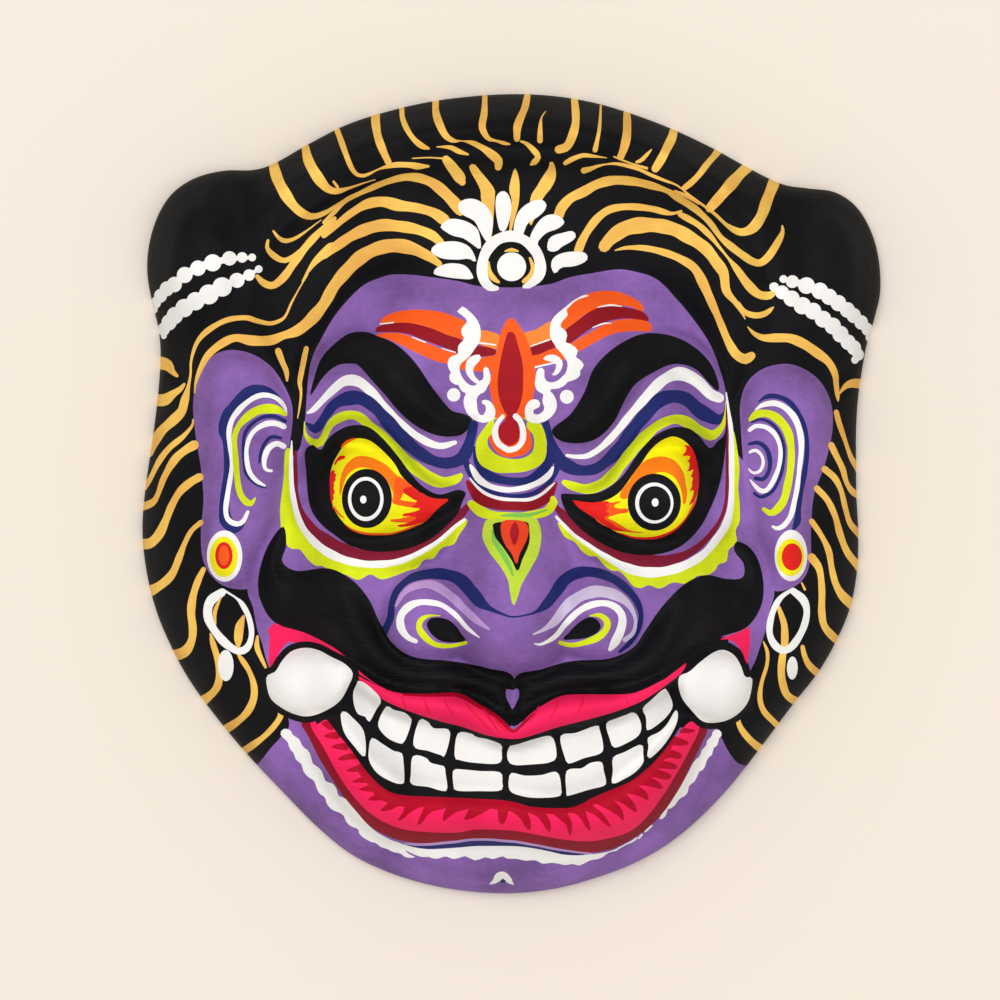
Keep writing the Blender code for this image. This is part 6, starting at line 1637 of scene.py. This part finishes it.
def brush_places(layer, spots):
    """Places along and across a shape's brush marks, in millimetres."""
    if layer is None or layer["line"] is None:
        return spots
    line = layer["line"]
    gap, share = nearest_on(line, spots)
    piece = gap.argmin(axis=1)
    reach = share[np.arange(len(spots)), piece]
    lengths = np.linalg.norm(np.diff(line[:, :2], axis=0), axis=1)
    travelled = np.concatenate([[0], np.cumsum(lengths)])
    along = (line[piece + 1, :2] - line[piece, :2]) / lengths[piece][:, None]
    away = spots - line[piece, :2]
    side = np.sign(along[:, 0] * away[:, 1] - along[:, 1] * away[:, 0])
    start = line[0, 0] * STROKE_OFFSET[0] + line[0, 1] * STROKE_OFFSET[1]
    return np.column_stack([start + travelled[piece] + reach * lengths[piece], side * gap.min(axis=1)])


def fitted_plan():
    """The outline fitted to the solid's box, with the stretch and shift that take drawn places there."""
    low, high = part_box("mask")
    low, high = np.array(low) / MM, np.array(high) / MM
    span = (high - low)[:2]
    outline = spline(OUTLINE, True, RIM_STEP)
    stretch = span / np.ptp(outline, axis=0)
    ring = outline * stretch
    ring -= (ring.min(axis=0) + ring.max(axis=0)) / 2
    shift = ring[0] - outline[0] * stretch
    return {"ring": ring, "span": span, "top": high[2], "stretch": stretch, "shift": shift}


def move_to(plan, layer):
    layer["ring"] = layer["ring"] * plan["stretch"] + plan["shift"]
    if layer["line"] is not None:
        layer["line"][:, :2] = layer["line"][:, :2] * plan["stretch"] + plan["shift"]


def front_side(plan, layers):
    """Points and triangles of the painted side, cut along every painted edge, and how deep they lie."""
    ring = plan["ring"]
    chains = roll_rows(ring) + [pulled_inside(ring, layer["ring"]) for layer in layers]
    fixed = np.vstack([filled_in(chain, CLOSEST) for chain in chains])
    grid = hex_grid(ring, FRONT_STEP)
    grid = grid[inside(ring, grid)]
    grid = grid[edge_distance(ring, grid) > roll_depth(ROLL_ANGLES[-1]) / 3]
    spots, faces = triangulate(ring, chains, keep_clear(grid, fixed, CLOSEST))
    depth = edge_distance(ring, spots)
    depth[:len(ring)] = 0
    forms = front_forms(ring, plan["stretch"], plan["shift"])(spots)
    heights = shell_height(spots, depth, forms, plan["span"])
    heights *= min(1, plan["top"] / heights.max())
    return np.column_stack([spots, heights]), faces, depth


def back_side(plan):
    """Points and triangles of the hollow side, and the plan that they were moved from."""
    ring = plan["ring"]
    grid = hex_grid(ring, BACK_STEP)
    grid = grid[inside(ring, grid)]
    grid = grid[edge_distance(ring, grid) > roll_depth(ROLL_ANGLES[-1]) + BACK_STEP / 3]
    spots, faces = triangulate(ring, roll_rows(ring)[1::2], grid)
    forms = back_forms(ring, plan["stretch"], plan["shift"])
    return back_surface(spots, ring, plan["span"], forms), faces, spots


def rim_band(count, behind):
    """Triangles of the flat rim, between the first points of the front and those of the back."""
    rim = np.arange(count)
    after = np.roll(rim, -1)
    return np.vstack([
        np.column_stack([rim, rim + behind, after + behind]),
        np.column_stack([rim, after + behind, after]),
    ])


def face_owners(ring, layers, front, faces):
    """The painted shape that covers each triangle's middle, read a little inwards for slivers at the rim."""
    middles = front[faces].mean(axis=1)[:, :2]
    beside = edge_distance(ring, middles) < SLIVER
    inward = front[:, :2].mean(axis=0) - middles[beside]
    inward /= np.linalg.norm(inward, axis=1)[:, None]
    middles[beside] += inward * SLIVER
    return coats(layers, middles)


def brush_map(points, faces, owner, layers):
    """Places of each corner along and across the brush marks of its shape."""
    places = points[faces][:, :, :2].copy()
    for number in range(-1, len(layers)):
        chosen = np.flatnonzero(owner == number)
        layer = layers[number] if number >= 0 else None
        if len(chosen):
            corners = places[chosen].reshape(-1, 2)
            places[chosen] = brush_places(layer, corners).reshape(-1, 3, 2)
    return places * BRUSH_UNIT


def rolled_out(ring, front, depth):
    """Places of the front's points on the plan, with the rolled side laid flat round it."""
    full = roll_depth(ROLL_ANGLES[-1])
    full_arc = SIDE_ROLL / MM * np.radians(ROLL_ANGLES[-1])
    reach = np.clip(depth, 0, full)
    arc = SIDE_ROLL / MM * np.arccos(1 - reach / (SIDE_ROLL / MM))
    push = (full_arc - arc) - (full - reach)
    line = np.vstack([ring, ring[:1]])
    piece = np.concatenate([nearest_on(line, chunk)[0].argmin(axis=1) for chunk in in_chunks(front[:, :2])])
    piece[:len(ring)] = np.arange(len(ring))
    return front[:, :2] + outward_normals(ring)[piece] * push[:, None]


def bake_map(ring, front, depth, back_plan, faces, rim_faces):
    """Where each corner lies on the baked picture: the front with its rim, and the back beside it."""
    spread = rolled_out(ring, front, depth)
    rim_spread = spread[:len(ring)] + outward_normals(ring) * WALL / MM
    front_bake = np.array(FRONT_SHEET) + spread / BAKE_TEXEL / BAKE_SIZE
    rim_bake = np.array(FRONT_SHEET) + rim_spread / BAKE_TEXEL / BAKE_SIZE
    back_bake = np.array(BACK_SHEET) + back_plan / BACK_TEXEL / BAKE_SIZE
    bake = np.vstack([front_bake, back_bake])[faces]
    behind = len(front)
    folded = np.where(rim_faces >= behind, rim_faces - behind + len(ring), rim_faces)
    bake[-len(rim_faces):] = np.vstack([front_bake[:len(ring)], rim_bake])[folded]
    return bake


def build_mask(layers):
    """One closed mesh: the painted front, the bare hollow back and the flat rim between them."""
    plan = fitted_plan()
    ring = plan["ring"]
    for layer in layers:
        move_to(plan, layer)
    front, front_faces, depth = front_side(plan, layers)
    back, back_faces, back_plan = back_side(plan)
    rim_faces = rim_band(len(ring), len(front))
    points = np.vstack([front, back])
    faces = np.vstack([front_faces, back_faces[:, [0, 2, 1]] + len(front), rim_faces])
    mesh = bpy.data.meshes.new("painted_mask")
    mesh.from_pydata((points * MM).tolist(), [], faces.tolist())
    mesh.update()

    names = list(COLOURS)
    for name in names:
        mesh.materials.append(paint_material(name))
    owner = face_owners(ring, layers, front, front_faces)
    colour_of = np.array([names.index(layer["colour"]) for layer in layers] + [names.index("black")])
    slots = np.full(len(faces), names.index("paper"))
    slots[:len(front_faces)] = colour_of[owner]
    mesh.polygons.foreach_set("material_index", slots)

    brush = brush_map(points, faces, owner, layers)
    mesh.uv_layers.new(name="brush").uv.foreach_set("vector", brush.ravel())
    bake = bake_map(ring, front, depth, back_plan, faces, rim_faces)
    mesh.uv_layers.new(name="OFBake").uv.foreach_set("vector", bake.ravel())
    mesh.shade_smooth()
    mesh.set_sharp_from_angle(angle=np.radians(SHARP_ANGLE))
    mask = bpy.data.objects.new("painted_mask", mesh)
    bpy.context.scene.collection.objects.link(mask)
    return mask


def linear(colour, share_of_light=1):
    """A colour in 0 to 255 sRGB steps as linear light, with full opacity."""
    share = np.array(colour) / 255
    light = np.where(share < 0.04045, share / 12.92, ((share + 0.055) / 1.055) ** 2.4)
    return (*(light * share_of_light).tolist(), 1)


def noise(nodes, links, place, scale, detail, roughness):
    node = nodes.new("ShaderNodeTexNoise")
    node.inputs["Scale"].default_value = scale
    node.inputs["Detail"].default_value = detail
    node.inputs["Roughness"].default_value = roughness
    links.new(place, node.inputs["Vector"])
    return node.outputs["Fac"]


def mixed_value(nodes, links, first, second, share):
    """One value from two, the second with the given share."""
    node = nodes.new("ShaderNodeMix")
    node.inputs["Factor"].default_value = share
    links.new(first, node.inputs["A"])
    links.new(second, node.inputs["B"])
    return node.outputs["Result"]


def bump(nodes, links, height, depth):
    node = nodes.new("ShaderNodeBump")
    node.inputs["Strength"].default_value = 1
    node.inputs["Distance"].default_value = depth
    links.new(height, node.inputs["Height"])
    return node


def of_paint(values, name):
    """A paint's own value, or the one that the other paints share."""
    return values.get(name, values["other"])


def paint_material(name):
    """One paint: its tone swings with bristle streaks and blotches, over the lumps of the paper."""
    material = bpy.data.materials.new("mask_" + name)
    material.use_nodes = True
    nodes, links = material.node_tree.nodes, material.node_tree.links
    shader = nodes["Principled BSDF"]
    shader.inputs["Roughness"].default_value = of_paint(ROUGHNESS, name)
    shader.inputs["Specular IOR Level"].default_value = of_paint(SHINE, name)
    brush = nodes.new("ShaderNodeUVMap")
    brush.uv_map = "brush"
    bristles = nodes.new("ShaderNodeMapping")
    bristles.inputs["Scale"].default_value = of_paint(BRISTLE_STRETCH, name)
    links.new(brush.outputs["UV"], bristles.inputs["Vector"])
    place = nodes.new("ShaderNodeTexCoord").outputs["Object"]
    streaks = noise(nodes, links, bristles.outputs["Vector"], of_paint(BRISTLE_SCALE, name), *STREAK_NOISE)
    blotches = noise(nodes, links, place, BLOTCH_SCALE, *BLOTCH_NOISE)
    lumps = noise(nodes, links, place, LUMP_SCALE, *LUMP_NOISE)

    spread = nodes.new("ShaderNodeMapRange")
    spread.inputs["From Min"].default_value = TONE_RANGE[0]
    spread.inputs["From Max"].default_value = TONE_RANGE[1]
    links.new(mixed_value(nodes, links, streaks, blotches, BLOTCH_SHARE), spread.inputs["Value"])
    colour = np.array(COLOURS[name], float)
    swing = of_paint(TONE_SWING, name)
    blend = nodes.new("ShaderNodeMix")
    blend.data_type = "RGBA"
    blend.inputs["A"].default_value = linear(np.clip(colour * (1 - swing), 0, 255), PAINT_LIGHT)
    blend.inputs["B"].default_value = linear(np.clip(colour * (1 + swing), 0, 255), PAINT_LIGHT)
    links.new(spread.outputs["Result"], blend.inputs["Factor"])
    links.new(blend.outputs["Result"], shader.inputs["Base Color"])

    rough = bump(nodes, links, lumps, of_paint(LUMP_DEPTH, name))
    marks = bump(nodes, links, streaks, of_paint(BRISTLE_DEPTH, name))
    links.new(rough.outputs["Normal"], marks.inputs["Normal"])
    links.new(marks.outputs["Normal"], shader.inputs["Normal"])
    return material


def floor_material():
    material = bpy.data.materials.new("floor")
    material.use_nodes = True
    shader = material.node_tree.nodes["Principled BSDF"]
    shader.inputs["Base Color"].default_value = linear(FLOOR_COLOUR)
    shader.inputs["Roughness"].default_value = FLOOR_ROUGHNESS
    shader.inputs["Specular IOR Level"].default_value = FLOOR_SHINE
    return material


def area_light(name, place, size, power, colour):
    light = bpy.data.lights.new(name, "AREA")
    light.size = size
    light.energy = power
    light.color = colour
    lamp = bpy.data.objects.new(name, light)
    lamp.location = place
    lamp.rotation_euler = Vector(place).to_track_quat("Z", "Y").to_euler()
    bpy.context.scene.collection.objects.link(lamp)


def floor():
    corners = [(-FLOOR, -FLOOR, 0), (FLOOR, -FLOOR, 0), (FLOOR, FLOOR, 0), (-FLOOR, FLOOR, 0)]
    mesh = bpy.data.meshes.new("floor")
    mesh.from_pydata(corners, [], [(0, 1, 2, 3)])
    mesh.materials.append(floor_material())
    plane = bpy.data.objects.new("floor", mesh)
    bpy.context.scene.collection.objects.link(plane)


def camera():
    data = bpy.data.cameras.new("camera")
    data.sensor_width = SENSOR_WIDTH
    data.lens = SENSOR_WIDTH * (CAMERA_HEIGHT - VIEW_PLANE) / VIEW_WIDTH
    data.clip_end = FURTHEST_SEEN
    eye = bpy.data.objects.new("camera", data)
    eye.location = (VIEW_CENTRE[0], VIEW_CENTRE[1], CAMERA_HEIGHT)
    bpy.context.scene.collection.objects.link(eye)
    bpy.context.scene.camera = eye


def world():
    scene = bpy.context.scene
    scene.world = bpy.data.worlds.new("studio")
    scene.world.use_nodes = True
    sky = scene.world.node_tree.nodes["Background"]
    sky.inputs["Color"].default_value = (1, 1, 1, 1)
    sky.inputs["Strength"].default_value = WORLD_LIGHT
    scene.view_settings.view_transform = "Standard"


mask = build_mask(painting())
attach(mask, "root")
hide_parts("mask")

floor()
camera()
world()
for light in LIGHTS:
    area_light(*light)
